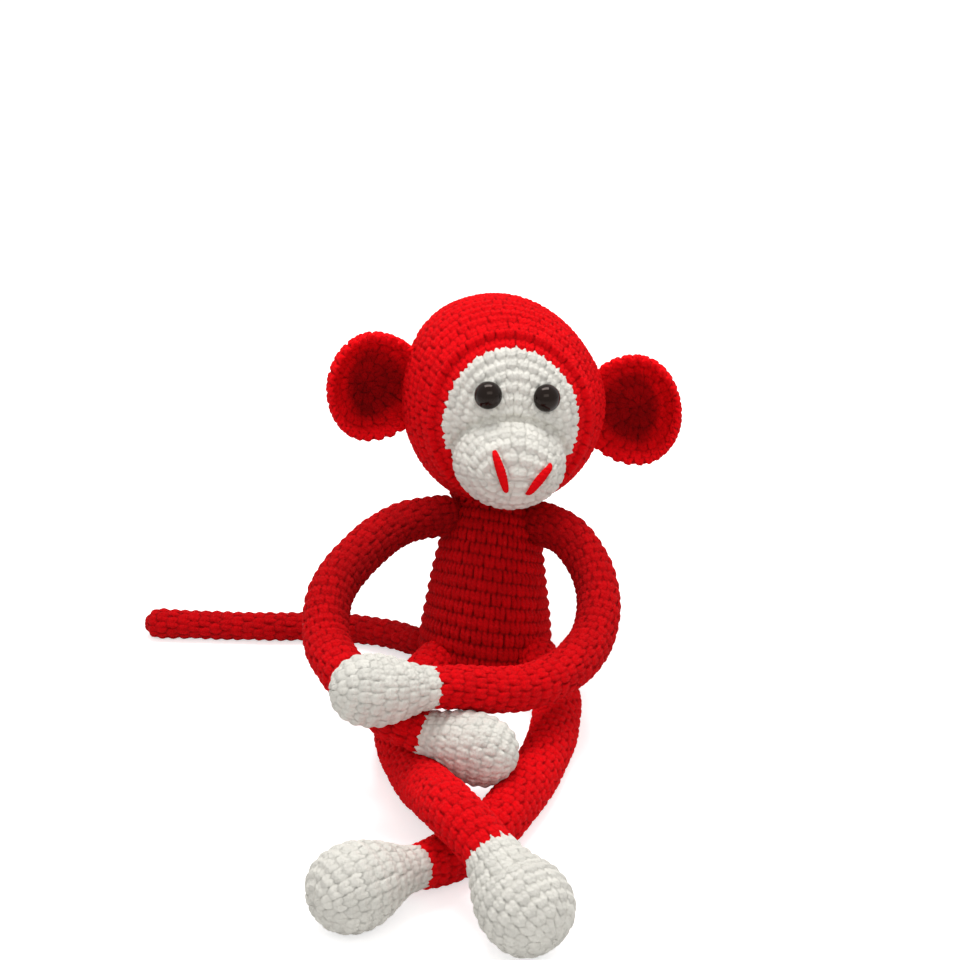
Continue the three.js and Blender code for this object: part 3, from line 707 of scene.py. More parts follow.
class Limb:
    """A stuffed arm or leg, worked in rounds from the tip of its hand or foot to its root."""

    def __init__(self, name):
        self.route = Route(ROUTES[name])
        self.sizes = sizes = LIMBS[name]
        length = self.route.length
        self.cuff = length - sizes["end_length"]
        # The points of the tip lie closest together at its end, where the radius changes fastest.
        cap = length - (1 - WIDEST_SHARE) * sizes["end_length"] * (
            1 - np.sin(np.linspace(0, math.pi / 2, 60)) ** 0.87)
        distances = np.concatenate([cap[::-1], np.arange(cap[0] - 1.0, 0.5, -1.0), [0.0]])
        radii = limb_radius(distances, length, sizes)
        angles = np.linspace(0, math.pi / 2, 10)[1:]
        distances = np.concatenate([distances, -sizes["root"] * np.sin(angles)])
        radii = np.concatenate([radii, sizes["root"] * np.cos(angles)])
        radii[0] = 0.0
        self.outline = Outline(distances, radii)
        end_arc = self.outline.mark_at(self.cuff + sizes["red_past"])
        self.end_rounds = int(round(end_arc / LIMB_ROUND))
        self.row_height = end_arc / self.end_rounds
        self.rounds = int(self.outline.length / self.row_height)

    def place(self, row, turn):
        """Points of the limb's smooth skin for rows and turns."""
        distance, radius = self.outline.at(row * self.row_height)
        return tube_places(self.route, distance, radius, turn)

    def along(self, row):
        """Distance in mm from the limb's root."""
        return self.outline.at(row * self.row_height)[0]

    def counts(self, width):
        """Stitches in each round, for a stitch of a given width."""
        arcs = (np.arange(self.rounds) + 0.5) * self.row_height
        return stitch_counts(self.outline.at(arcs)[1], width)

    def pushed(self, points, room):
        """Moves points out of this limb's round room, as what lies on it is pressed out of shape."""
        flat = points.reshape(-1, 3)
        distances = np.linspace(0, self.route.length, 240)
        line, _ = self.route.at(distances)
        radii = limb_radius(distances, self.route.length, self.sizes)
        margin = 22
        box_low = line.min(axis=0) - margin
        box_high = line.max(axis=0) + margin
        near = np.flatnonzero(((flat > box_low) & (flat < box_high)).all(axis=1))
        moved = flat.copy()
        at_a_time = 20000
        for chunk in np.array_split(near, max(1, len(near) // at_a_time)):
            away = flat[chunk][:, None] - line[None]
            distance = np.linalg.norm(away, axis=2)
            inside = distance - radii[None]
            which = inside.argmin(axis=1)
            row = np.arange(len(chunk))
            depth = inside[row, which] - room
            push = np.minimum(depth, 0.0)
            direction = away[row, which] / np.maximum(distance[row, which], 1e-6)[:, None]
            moved[chunk] -= direction * push[:, None]
        return moved.reshape(points.shape)


def above_floor(points):
    """Flattens what would sink into the surface that the toy rests on, softly over the last 0.6 mm."""
    soft = 0.6
    z = points[..., 2]
    points[..., 2] = np.where(z < soft, soft * np.exp((np.minimum(z, soft) - soft) / soft), z)
    return points


def add_node(tree, kind, settings=None, links=None):
    """Adds a node with its settings, its sockets' values, a ramp's stops and the links into it."""
    node = tree.nodes.new(kind)
    for key, value in (settings or {}).items():
        if key == "stops":
            elements = node.color_ramp.elements
            while len(elements) < len(value):
                elements.new(0.5)
            for element, (place, colour) in zip(elements, value):
                element.position = place
                element.color = (*colour, 1.0)
        elif isinstance(key, str) and hasattr(node, key):
            setattr(node, key, value)
        else:
            node.inputs[key].default_value = value
    for socket, source in (links or {}).items():
        tree.links.new(source, node.inputs[socket])
    return node


def new_material(name):
    """An empty material and its node tree."""
    material = bpy.data.materials.new(name)
    material.use_nodes = True
    tree = material.node_tree
    tree.nodes.clear()
    return material, tree


def looked_at(tree):
    """Is 1 where a surface is seen directly, in a gloss or through glass, and 0 for other light."""
    path = add_node(tree, "ShaderNodeLightPath")
    direct = add_node(
        tree, "ShaderNodeMath", {"operation": "MAXIMUM"},
        {0: path.outputs["Is Camera Ray"], 1: path.outputs["Is Glossy Ray"]})
    seen = add_node(
        tree, "ShaderNodeMath", {"operation": "MAXIMUM"},
        {0: direct.outputs[0], 1: path.outputs["Is Transmission Ray"]})
    return seen.outputs[0]


def yarn_material(name, light, dark, sheen_tint, sheen, bump):
    """Spun acrylic yarn: plies of soft fibres, matt, with a thin sheen from the fuzz.

    The creases between strands are painted in a darker crease colour, a painted shade for the light that
    is lost between red or cream walls. along, across, tone, level and depth are the mesh's own:
    millimetres along a strand, -1 to 1 across it, each stitch's own number, the height in the relief,
    which picks the painted crease shade, and the painted shade of closed-in places, which is painted light
    under 0.
    """
    material, tree = new_material(name)
    level, along, across, tone, depth = (
        add_node(tree, "ShaderNodeAttribute", {"attribute_name": key}).outputs["Fac"]
        for key in ("level", "along", "across", "tone", "depth"))
    # Fibres 0.6 mm long and 0.3 mm wide, far coarser than the real 0.02 mm so that they show.
    grain = add_node(tree, "ShaderNodeCombineXYZ", {}, {0: along, 1: across, 2: tone})
    stretch = add_node(
        tree, "ShaderNodeMapping", {"Scale": (1.1, 3.2, 40.0)}, {"Vector": grain.outputs[0]})
    fibres = add_node(
        tree, "ShaderNodeTexNoise", {"Scale": 1.6, "Detail": 3.0, "Roughness": 0.7},
        {"Vector": stretch.outputs[0]})
    # Plies wind about the strand: 2.9 radians to the millimetre is one every 2.2 mm.
    lean = add_node(tree, "ShaderNodeMath", {"operation": "MULTIPLY", 1: 2.2}, {0: across})
    slant = add_node(
        tree, "ShaderNodeMath", {"operation": "MULTIPLY_ADD", 1: 2.9}, {0: along, 2: lean.outputs[0]})
    plies = add_node(tree, "ShaderNodeMath", {"operation": "SINE"}, {0: slant.outputs[0]})
    # The colour runs from the crease's painted shade to the strand's own colour with the height, and the
    # plies, whose grooves take the painted shade too, the fibres and the fuzz each shift it a little.
    shade = add_node(
        tree, "ShaderNodeMath", {"operation": "MULTIPLY_ADD", 1: 0.10}, {0: plies.outputs[0], 2: level})
    uneven = add_node(
        tree, "ShaderNodeMath", {"operation": "MULTIPLY_ADD", 1: 0.22},
        {0: fibres.outputs["Fac"], 2: shade.outputs[0]})
    # Fuzz in tufts of 0.7 mm, which is 1400 to the metre. Its real hairs are too fine to show.
    place = add_node(tree, "ShaderNodeTexCoord").outputs["Object"]
    fuzz = add_node(
        tree, "ShaderNodeTexNoise", {"Scale": 1400.0, "Detail": 3.0, "Roughness": 0.75},
        {"Vector": place})
    mottled = add_node(
        tree, "ShaderNodeMath", {"operation": "MULTIPLY_ADD", 1: 0.35},
        {0: fuzz.outputs["Fac"], 2: uneven.outputs[0]})
    colour = add_node(
        tree, "ShaderNodeValToRGB", {"stops": ((0.22, dark), (0.78, light), (1.0, light))},
        {0: mottled.outputs[0]})
    # Each stitch has its own shade, from 6 percent darker to 5 percent lighter.
    tint = add_node(
        tree, "ShaderNodeMapRange", {"From Min": 0.0, "From Max": 1.0, "To Min": 0.94, "To Max": 1.05},
        {"Value": tone})
    # The painted shade of closed-in places is taken off each stitch's own tone; under 0 it is painted
    # light.
    painted_shade = add_node(
        tree, "ShaderNodeMath", {"operation": "SUBTRACT"}, {0: tint.outputs[0], 1: depth})
    toned = add_node(
        tree, "ShaderNodeVectorMath", {"operation": "SCALE"},
        {0: colour.outputs[0], "Scale": painted_shade.outputs[0]})
    ply_height = add_node(
        tree, "ShaderNodeMath", {"operation": "MULTIPLY_ADD", 1: 0.25},
        {0: plies.outputs[0], 2: fibres.outputs["Fac"]})
    hairs = add_node(
        tree, "ShaderNodeMath", {"operation": "MULTIPLY_ADD", 1: 0.8},
        {0: fuzz.outputs["Fac"], 2: ply_height.outputs[0]})
    relief = add_node(
        tree, "ShaderNodeBump", {"Strength": bump, "Distance": 0.7 * MM}, {"Height": hairs.outputs[0]})
    shader = add_node(
        tree, "ShaderNodeBsdfPrincipled",
        {"Roughness": 0.88, "Specular IOR Level": 0.08, "Sheen Weight": sheen,
         "Sheen Roughness": 0.45, "Sheen Tint": (*sheen_tint, 1.0)},
        {"Base Color": toned.outputs[0], "Normal": relief.outputs[0]})
    add_node(tree, "ShaderNodeOutputMaterial", {}, {"Surface": shader.outputs[0]})
    return material


def eye_material(name, colour):
    """Moulded black acrylic of a safety eye: polished, so it mirrors the lamps as small windows.

    A haze of handling in patches of 5.6 mm, 180 to the metre, makes it slightly duller in places.
    """
    material, tree = new_material(name)
    place = add_node(tree, "ShaderNodeTexCoord").outputs["Object"]
    haze = add_node(tree, "ShaderNodeTexNoise", {"Scale": 180.0, "Detail": 2.0}, {"Vector": place})
    rough = add_node(
        tree, "ShaderNodeMapRange", {"From Min": 0.3, "From Max": 0.7, "To Min": 0.03, "To Max": 0.09},
        {"Value": haze.outputs["Fac"]})
    shader = add_node(
        tree, "ShaderNodeBsdfPrincipled",
        {"Base Color": (*colour, 1.0), "IOR": 1.33, "Specular Tint": (*linear("#e6d2c6"), 1.0)},
        {"Roughness": rough.outputs[0]})
    add_node(tree, "ShaderNodeOutputMaterial", {}, {"Surface": shader.outputs[0]})
    return material


def filling_material(name, colour):
    """Carded polyester filling: loose white fibres with soft lumps of 6 mm, 160 to the metre."""
    material, tree = new_material(name)
    place = add_node(tree, "ShaderNodeTexCoord").outputs["Object"]
    lumps = add_node(tree, "ShaderNodeTexNoise", {"Scale": 160.0, "Detail": 5.0}, {"Vector": place})
    dark = tuple(0.8 * v for v in colour)
    shade = add_node(
        tree, "ShaderNodeValToRGB", {"stops": ((0.3, dark), (0.7, colour))}, {0: lumps.outputs["Fac"]})
    relief = add_node(
        tree, "ShaderNodeBump", {"Strength": 0.5, "Distance": 1.0 * MM},
        {"Height": lumps.outputs["Fac"]})
    shader = add_node(
        tree, "ShaderNodeBsdfPrincipled", {"Roughness": 0.95, "Sheen Weight": 0.3},
        {"Base Color": shade.outputs[0], "Normal": relief.outputs[0]})
    add_node(tree, "ShaderNodeOutputMaterial", {}, {"Surface": shader.outputs[0]})
    return material


def washer_material(name, colour):
    """Moulded natural polypropylene of the eye washers: milky and slightly waxy.

    Marks of the plastic's flow are 2.5 mm apart, 400 to the metre.
    """
    material, tree = new_material(name)
    place = add_node(tree, "ShaderNodeTexCoord").outputs["Object"]
    flow = add_node(tree, "ShaderNodeTexNoise", {"Scale": 400.0, "Detail": 2.0}, {"Vector": place})
    dark = tuple(0.9 * v for v in colour)
    shade = add_node(
        tree, "ShaderNodeValToRGB", {"stops": ((0.3, dark), (0.7, colour))}, {0: flow.outputs["Fac"]})
    shader = add_node(
        tree, "ShaderNodeBsdfPrincipled", {"Roughness": 0.42, "IOR": 1.49},
        {"Base Color": shade.outputs[0]})
    add_node(tree, "ShaderNodeOutputMaterial", {}, {"Surface": shader.outputs[0]})
    return material


def floor_material(colour, glow):
    """Matt studio paper, seen as white but for the shadow of the toy.

    Its tooth is drawn 1.1 mm across, 900 to the metre, coarser than the real 0.2 mm so that it shows.
    """
    material, tree = new_material("matt_studio_paper")
    strength = add_node(
        tree, "ShaderNodeMath", {"operation": "MULTIPLY", 1: glow}, {0: looked_at(tree)})
    place = add_node(tree, "ShaderNodeTexCoord").outputs["Object"]
    tooth = add_node(tree, "ShaderNodeTexNoise", {"Scale": 900.0, "Detail": 2.0}, {"Vector": place})
    dark = tuple(0.97 * v for v in colour)
    shade = add_node(
        tree, "ShaderNodeValToRGB", {"stops": ((0.3, dark), (0.7, colour))}, {0: tooth.outputs["Fac"]})
    paper = add_node(tree, "ShaderNodeBsdfDiffuse", {}, {"Color": shade.outputs[0]})
    light = add_node(
        tree, "ShaderNodeEmission", {"Color": (1, 1, 1, 1)}, {"Strength": strength.outputs[0]})
    both = add_node(tree, "ShaderNodeAddShader", {}, {0: paper.outputs[0], 1: light.outputs[0]})
    add_node(tree, "ShaderNodeOutputMaterial", {}, {"Surface": both.outputs[0]})
    return material


def finish_of(kind):
    """The toy's materials, each made when it is first asked for."""
    colours = bpy.context.scene.monkey_colours
    name = {"red": "spun_red_acrylic_yarn", "white": "spun_white_acrylic_yarn",
            "eye": "moulded_black_acrylic", "filling": "polyester_filling",
            "washer": "moulded_natural_polypropylene"}[kind]
    found = bpy.data.materials.get(name)
    if found:
        return found
    if kind == "red":
        return yarn_material(name, tuple(colours.red), tuple(colours.red_crease_shade),
                             linear("#ff4646"), sheen=0.04, bump=0.9)
    if kind == "white":
        return yarn_material(name, tuple(colours.white), tuple(colours.white_crease_shade),
                             linear("#ffffff"), sheen=0.06, bump=0.7)
    if kind == "eye":
        return eye_material(name, tuple(colours.eye))
    if kind == "washer":
        return washer_material(name, tuple(colours.washer))
    return filling_material(name, tuple(colours.filling))


def length_property(name, description, millimetres):
    """A length that is typed here in millimetres and kept in metres."""
    return bpy.props.FloatProperty(
        name=name, description=description, default=millimetres * MM, min=0.0, unit="LENGTH",
        subtype="DISTANCE")


class MonkeyYarn(bpy.types.PropertyGroup):
    """How the yarn is worked"""
    proud: length_property("Proud", "How far strands stand over the smooth form", 0.4)
    crease: length_property("Crease", "Depth of the holes between stitches", 1.45)
    stitch_width: length_property("Stitch width", "Width of a stitch of the torso and limbs", 4.9)
    row_height: length_property("Round height", "Height of a round of the torso and tail", 5.0)


def colour_property(name, description, code):
    """A colour with its default as an sRGB hex value."""
    return bpy.props.FloatVectorProperty(
        name=name, description=description, default=linear(code), size=3, min=0.0, max=1.0,
        subtype="COLOR")


class MonkeyColours(bpy.types.PropertyGroup):
    """The colours of the toy and its stage"""
    red: colour_property("Red yarn", "Colour of the red yarn", "#ee0510")
    # The crease colours are painted shade, for the light lost deep between the strands.
    red_crease_shade: colour_property("Red crease", "Colour deep between red strands", "#b0030c")
    white: colour_property("White yarn", "Colour of the white yarn", "#e2dfd6")
    # Painted shade deep between the white strands.
    white_crease_shade: colour_property("White crease", "Colour deep between white strands", "#d6d0c3")
    eye: colour_property("Eye", "Colour of the safety eyes", "#140d0b")
    filling: colour_property("Filling", "Colour of the filling", "#f0eee9")
    washer: colour_property("Washer", "Colour of the eye washers", "#dcdcd8")
    floor: colour_property("Floor", "Colour of the studio floor", "#e4e4e4")


class MonkeyStage(bpy.types.PropertyGroup):
    """The light of the stage"""
    key_power: bpy.props.FloatProperty(
        name="Key lamp", description="Power of the overhead lamp", default=7.6, min=0.0, unit="POWER")
    fill_power: bpy.props.FloatProperty(
        name="Fill lamp", description="Power of the front lamp", default=1.7, min=0.0, unit="POWER")
    surroundings: bpy.props.FloatProperty(
        name="Surroundings", description="Strength of the even light from all round", default=0.66,
        min=0.0)
    floor_glow: bpy.props.FloatProperty(
        name="Floor glow", description="White added to the floor as the camera sees it",
        default=0.6, min=0.0)


class TorsoOperator(bpy.types.Operator):
    """Crochets the torso in rounds from the flat seat up to the neck"""
    bl_idname = "monkey.torso"
    bl_label = "Torso"

    def execute(self, context):
        yarn = context.scene.monkey_yarn
        outline = torso_outline()
        rounds = int(round(outline.length / (yarn.row_height / MM)))
        height = outline.length / rounds

        def place(row, turn):
            return torso_ring(*outline.at(row * height), turn)[0]

        def painted_shade(row, turn):
            """Painted shade: deeper all round, as under the head and the arms, and less so on the toy's
            left, where more light falls.
            """
            return 0.34 - 0.18 * np.maximum(np.cos(2 * math.pi * turn), 0)

        radii = outline.at((np.arange(rounds) + 0.5) * height)[1]
        counts = stitch_counts(radii, yarn.stitch_width / MM, step=6)
        fabric = Fabric(counts, 0.44, seed=11, style=UPRIGHT)
        torso = crochet("torso", place, samples(0, rounds, 10), ring_of(360), fabric,
                        finish_of("red"), tilt=0.5, shape=above_floor, depth=painted_shade)
        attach(torso, "torso")
        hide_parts("torso_cover")
        return {"FINISHED"}


class HeadOperator(bpy.types.Operator):
    """Crochets the white face and the red rest of the head, in rounds about the face's pole"""
    bl_idname = "monkey.head"
    bl_label = "Head and face"

    def execute(self, context):
        def painted_face_light(row, turn):
            """Painted light: lighter in the face's middle, which nothing shades."""
            return -0.12 * (1 - ease((row - 1) / 3.5))

        counts = head_counts()
        face_fabric = Fabric(counts, DRIFT, seed=21, last=FACE_ROUNDS, drop=EDGE_DROP, style=SOFT)
        inner = from_head(np.array((0.0, -26.0, 0.0)))
        face = crochet("face", head_place, samples(0, FACE_ROUNDS + 0.6, 10), ring_of(400),
                       face_fabric, finish_of("white"), end_at=inner, shape=drawn_in_by_muzzle,
                       depth=painted_face_light)
        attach(face, "head")
        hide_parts("face_panel")

        # The red edge sinks a little further than the white, which lies over it.
        head_fabric = Fabric(counts, DRIFT, seed=22, first=FACE_ROUNDS, drop=EDGE_DROP + 0.2)
        inner = from_head(np.array((0.0, -20.0, 0.0)))
        head = crochet("head", head_place, samples(FACE_ROUNDS - 0.6, HEAD_ROUNDS, 8),
                       ring_of(528), head_fabric, finish_of("red"), start_at=inner)
        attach(head, "head")
        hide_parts("head_cover")
        return {"FINISHED"}


def muzzle_form(forward, share, turn):
    """The muzzle's smooth skin in the head's frame: round at its seam and oval about a short chain."""
    t = 2 * math.pi * turn
    near_chain = 1 - ease(share / MUZZLE_SHARE)
    half_width = share * MUZZLE_HALF[0] / MUZZLE_SHARE + MUZZLE_CHAIN * near_chain
    # The chain lies 1 mm to the toy's left of the muzzle's middle and 3 mm below it.
    return MUZZLE_CENTRE + np.stack([
        half_width * np.cos(t) + near_chain,
        forward + 0 * t,
        share * np.sin(t) * MUZZLE_HALF[2] / MUZZLE_SHARE - 3 * near_chain], -1)


def drawn_in_by_muzzle(points):
    """Sinks the face a little along the muzzle's seam, whose stitches pull it in."""
    local = (points - HEAD_CENTRE) @ HEAD_AXES
    up = (local[..., 2] - MUZZLE_CENTRE[2]) / MUZZLE_HALF[2]
    share = np.hypot(local[..., 0] / MUZZLE_HALF[0], up)
    pull = SEAM_PULL * np.exp(-((share - SEAM_PLACE) / SEAM_SPREAD) ** 2) * (local[..., 1] < 0)
    return points + HEAD_AXES[:, 1] * pull[..., None]


def muzzle_outline():
    """The muzzle's turned outline: a fuller dome than a ball, then the sunk edge behind its seam."""
    angle = np.linspace(0, math.pi / 2, 60)
    sunk = np.arange(1.0, 10.5, 1.0)
    forward = np.concatenate([-MUZZLE_HALF[1] * np.cos(angle) ** 0.78, sunk])
    share = MUZZLE_SHARE * np.concatenate([np.sin(angle) ** 0.82, 1 - 0.003 * sunk ** 2])
    return Outline(forward, share)


def on_muzzle(x, z):
    """The points of the muzzle's front skin at the given places across and up, and their normals."""
    front_length = 33
    arc, turn = np.meshgrid(np.linspace(0, front_length, 200), ring_of(360), indexing="ij")
    skin = muzzle_form(*muzzle_outline().at(arc), turn)
    normal = unit(np.cross(np.gradient(skin, axis=0), wrapped_difference(skin)))
    skin, normal = skin.reshape(-1, 3), normal.reshape(-1, 3)
    normal *= np.where(normal[:, 1:2] > 0, -1, 1)
    nearest = [np.hypot(skin[:, 0] - a, skin[:, 2] - b).argmin() for a, b in zip(x, z)]
    return skin[nearest], normal[nearest]


class MuzzleOperator(bpy.types.Operator):
    """Crochets the muzzle cup in oval rounds and sews the two long stitches on it"""
    bl_idname = "monkey.muzzle"
    bl_label = "Muzzle and mouth stitches"

    def execute(self, context):
        outline = muzzle_outline()
        rounds = int(round(outline.length / MUZZLE_ROUND))
        step = outline.length / rounds

        def place(row, turn):
            return from_head(muzzle_form(*outline.at(row * step), turn))

        middles = outline.at((np.arange(rounds) + 0.5) * step)[1]
        chain = 0.6 * MUZZLE_CHAIN * (1 - ease(middles / MUZZLE_SHARE))
        fabric = Fabric(stitch_counts(middles + chain, MUZZLE_STITCH), 0.3, seed=31, style=SOFT)
        inner = from_head(np.array((0, -20.0, -14.0)))
        muzzle = crochet("muzzle", place, samples(0, rounds, 11), ring_of(280), fabric,
                         finish_of("white"), wave=0.25, end_at=inner)
        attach(muzzle, "head")
        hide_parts("muzzle_cover")

        for side, top, bottom, bow in MOUTH_STITCHES:
            t = np.linspace(0, 1, 40)
            arch = np.sin(math.pi * t)
            x = top[0] + (bottom[0] - top[0]) * t + bow * arch
            z = top[1] + (bottom[1] - top[1]) * t - bow * arch
            skin, normal = on_muzzle(x, z)
            # Both ends go 1.2 mm into the muzzle, and the rest lies 0.9 mm over its skin.
            lift = 2.1 * np.minimum(1, 2.4 * arch) - 1.2
            line = skin + normal * lift[:, None]
            line[1:-1] = (line[:-2] + line[1:-1] + line[2:]) / 3
            strand = yarn_strand(f"{side}_stitch", from_head(line), MOUTH_YARN_RADIUS, finish_of("red"),
                                 flatten=0.6, point=1.6, facing=normal @ HEAD_AXES.T)
            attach(strand, "head")
            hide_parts(f"{side}_mouth_stitch")
        return {"FINISHED"}


def yarn_strand(name, line, radius, material, flatten=1.0, sides=20, point=8.0, facing=None, depth=0.0):
    """A length of plied yarn along a line: its plies stand out and wind about it.

    facing gives the way out at each point of the line, and flatten is the thickness that way as a share of
    the width. A smaller point tapers the ends over a longer way.
    """
    spacing, plies, pitch = 0.45, 4, 5.5
    marks = lengths_to(line)
    even = np.linspace(0, marks[-1], max(12, int(marks[-1] / spacing)))
    points = read_along(even, marks, line)
    direction = unit(np.gradient(points, axis=0))
    guide = np.broadcast_to((0.1, -0.95, 0.3), points.shape)
    if facing is not None:
        guide = read_along(even, marks, facing)
    normal = unit(guide - direction * (direction * guide).sum(axis=1, keepdims=True))
    side = np.cross(direction, normal)
    angle = 2 * math.pi * ring_of(sides)[None]
    winding = 2 * math.pi * even[:, None] / pitch
    bulge = 1 + 0.10 * np.cos(plies * (angle - winding))
    taper = np.sqrt(np.clip(1 - np.abs(2 * even / marks[-1] - 1) ** point, 0, 1))[:, None]
    local = radius * bulge * np.maximum(taper, 0.02)
    ring = (side[:, None] * (np.cos(angle) * local)[..., None]
            + normal[:, None] * (np.sin(angle) * local * flatten)[..., None])
    # level lets the grooves between plies take the painted crease shade, and depth is a painted shade all
    # along.
    values = {
        "level": 0.55 + 0.45 * (bulge - 0.9) / 0.2,
        "along": even[:, None] + 0 * local,
        "across": np.sin(angle) + 0 * local,
        "tone": np.full(local.shape, 0.5),
        "depth": np.full(local.shape, depth),
    }
    return closed_grid(name, points[:, None] + ring, values, material)


class EyesOperator(bpy.types.Operator):
    """Turns the two safety eyes, each a polished dome with a thin rim on its post"""
    bl_idname = "monkey.eyes"
    bl_label = "Safety eyes"

    def execute(self, context):
        for side, sign in (("right", -1), ("left", 1)):
            # Half a ball, flattened, and from its edge the rim, the back and the post.
            deselect()
            bpy.ops.mesh.primitive_uv_sphere_add(segments=64, ring_count=48, radius=EYE_RADIUS * MM)
            eye = context.object
            eye.name = f"{side}_safety_eye"
            bpy.ops.object.mode_set(mode="EDIT")
            bpy.ops.mesh.select_all(action="SELECT")
            bpy.ops.transform.resize(value=(1, 1, EYE_DOME / EYE_RADIUS))
            bpy.ops.mesh.bisect(plane_co=(0, 0, 0), plane_no=(0, 0, 1), clear_inner=True)
            edge_loop(eye, lambda v: abs(v.co.z) < 1e-6)
            for back, scale in EYE_STEPS:
                bpy.ops.mesh.extrude_region_move(TRANSFORM_OT_translate={"value": (0, 0, -back * MM)})
                bpy.ops.transform.resize(value=(scale, scale, 1), center_override=(0, 0, 0))
            # The post's end is closed with a single face, which comes out the same in each run.
            bpy.ops.mesh.edge_face_add()
            bpy.ops.mesh.select_all(action="SELECT")
            bpy.ops.mesh.remove_doubles(threshold=1e-7)
            bpy.ops.mesh.normals_make_consistent(inside=False)
            bpy.ops.object.mode_set(mode="OBJECT")
            # It sits on the head's skin and looks straight out from there.
            x = sign * EYE_SPACING + EYE_SHIFT
            from_crown = x - crown_lean(EYE_RISE)
            depth = HEAD_HALF[1] * math.sqrt(
                1 - (from_crown / HEAD_HALF[0]) ** 2 - (EYE_RISE / HEAD_HALF[2]) ** 2)
            normal = np.array((from_crown, -depth, EYE_RISE)) / HEAD_HALF ** 2
            spot = from_head(np.array((x, -depth, EYE_RISE))) * MM
            out = Vector(HEAD_AXES @ (normal / np.linalg.norm(normal)))
            turn = Vector((0, 0, 1)).rotation_difference(out).to_matrix().to_4x4()
            seat = Matrix.Translation(Vector(spot) + out * EYE_SEAT * MM)
            eye.data.transform(seat @ turn)
            eye.data.update()
            bpy.ops.object.shade_smooth_by_angle(angle=math.radians(40))
            eye.data.materials.append(finish_of("eye"))
            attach(eye, "head")
            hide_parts(f"{side}_eye")
        return {"FINISHED"}


def deselect():
    """Leaves nothing selected or active, so that an operator acts on what comes next alone."""
    for obj in bpy.context.selected_objects:
        obj.select_set(False)
    bpy.context.view_layer.objects.active = None


def edge_loop(obj, wanted):
    """Selects, in edit mode, only the edges whose two ends are wanted."""
    mesh = bmesh.from_edit_mesh(obj.data)
    for face in mesh.faces:
        face.select = False
    for edge in mesh.edges:
        edge.select = all(wanted(vert) for vert in edge.verts)
    mesh.select_flush(True)
    bmesh.update_edit_mesh(obj.data)


class EarsOperator(bpy.types.Operator):
    """Crochets the two ears as round cups with a thick scalloped rim, open to the front"""
    bl_idname = "monkey.ears"
    bl_label = "Ears"

    def execute(self, context):
        rim = EAR_WALL / 2
        quarter = np.linspace(0, math.pi / 2, 40)
        outer_r = EAR_HALF_HEIGHT * np.sin(quarter)
        outer_h = -(EAR_DEPTH - rim) * np.cos(quarter)
        lip = np.linspace(0, math.pi, 14)[1:-1]
        lip_r = EAR_HALF_HEIGHT - rim + rim * np.cos(lip)
        lip_h = rim * np.sin(lip)
        inner_r = (EAR_HALF_HEIGHT - EAR_WALL) * np.sin(quarter[::-1])
        inner_h = -(EAR_DEPTH - rim - EAR_WALL) * np.cos(quarter[::-1])
        outline = Outline(
            np.concatenate([outer_h, lip_h, inner_h]), np.concatenate([outer_r, lip_r, inner_r]))
        rim_arc = outline.mark_at(rim)
        rounds = int(round(outline.length / EAR_ROUND))
        step = outline.length / rounds
        rim_round = int(rim_arc / step)
        radii = outline.at((np.arange(rounds) + 0.5) * step)[1]
        counts = stitch_counts(radii * 0.97, EAR_STITCH)
        for side, sign, rise, tall, lean, seed in EARS:
            roll = math.radians(lean)
            spin = np.array(Matrix.Rotation(-sign * math.radians(EAR_INWARD), 3, "Z"))
            fabric = Fabric(counts, 0.4, seed=seed)

            def place(row, turn):
                height, radius = outline.at(row * step)
                t = 2 * math.pi * turn
                stitch = turn * counts[rim_round] + fabric.shifts[rim_round]
                scallop = np.abs(np.sin(math.pi * stitch)) - 0.6
                near_rim = np.exp(-((row * step - rim_arc) / 3.5) ** 2)
                radius = radius + EAR_SCALLOP * scallop * near_rim
                half_width = np.where(np.cos(t) * sign > 0, EAR_HALF_WIDTH, EAR_INNER_HALF_WIDTH)
                x = radius * np.cos(t) * half_width / EAR_HALF_HEIGHT
                z = radius * np.sin(t) * tall
                local = np.stack([x * np.cos(roll) - z * np.sin(roll), -height,
                                  x * np.sin(roll) + z * np.cos(roll)], -1)
                local = local @ spin.T + np.array((sign * EAR_OUT, EAR_BACK - EAR_DEPTH, rise))
                return from_head(local)

            def painted_cup_shade(row, turn):
                """Painted shade deep in the cup, from further in on its outer side, lighter at its top
                than its bottom, and painted light at the rim.
                """
                outward = np.maximum(np.cos(2 * math.pi * turn) * sign, 0)
                past_rim = row * step - rim_arc
                return (0.6 * ease((past_rim - rim - 4 - 6 * outward) / 9)
                        - 0.12 * np.exp(-(past_rim / 5) ** 2) - 0.08 * np.sin(2 * math.pi * turn))

            ear = crochet(f"{side}_ear_cup", place, samples(0, rounds, 9), ring_of(280), fabric,
                          finish_of("red"), wave=0.3, depth=painted_cup_shade)
            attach(ear, f"{side}_ear")
            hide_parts(f"{side}_ear")
        return {"FINISHED"}


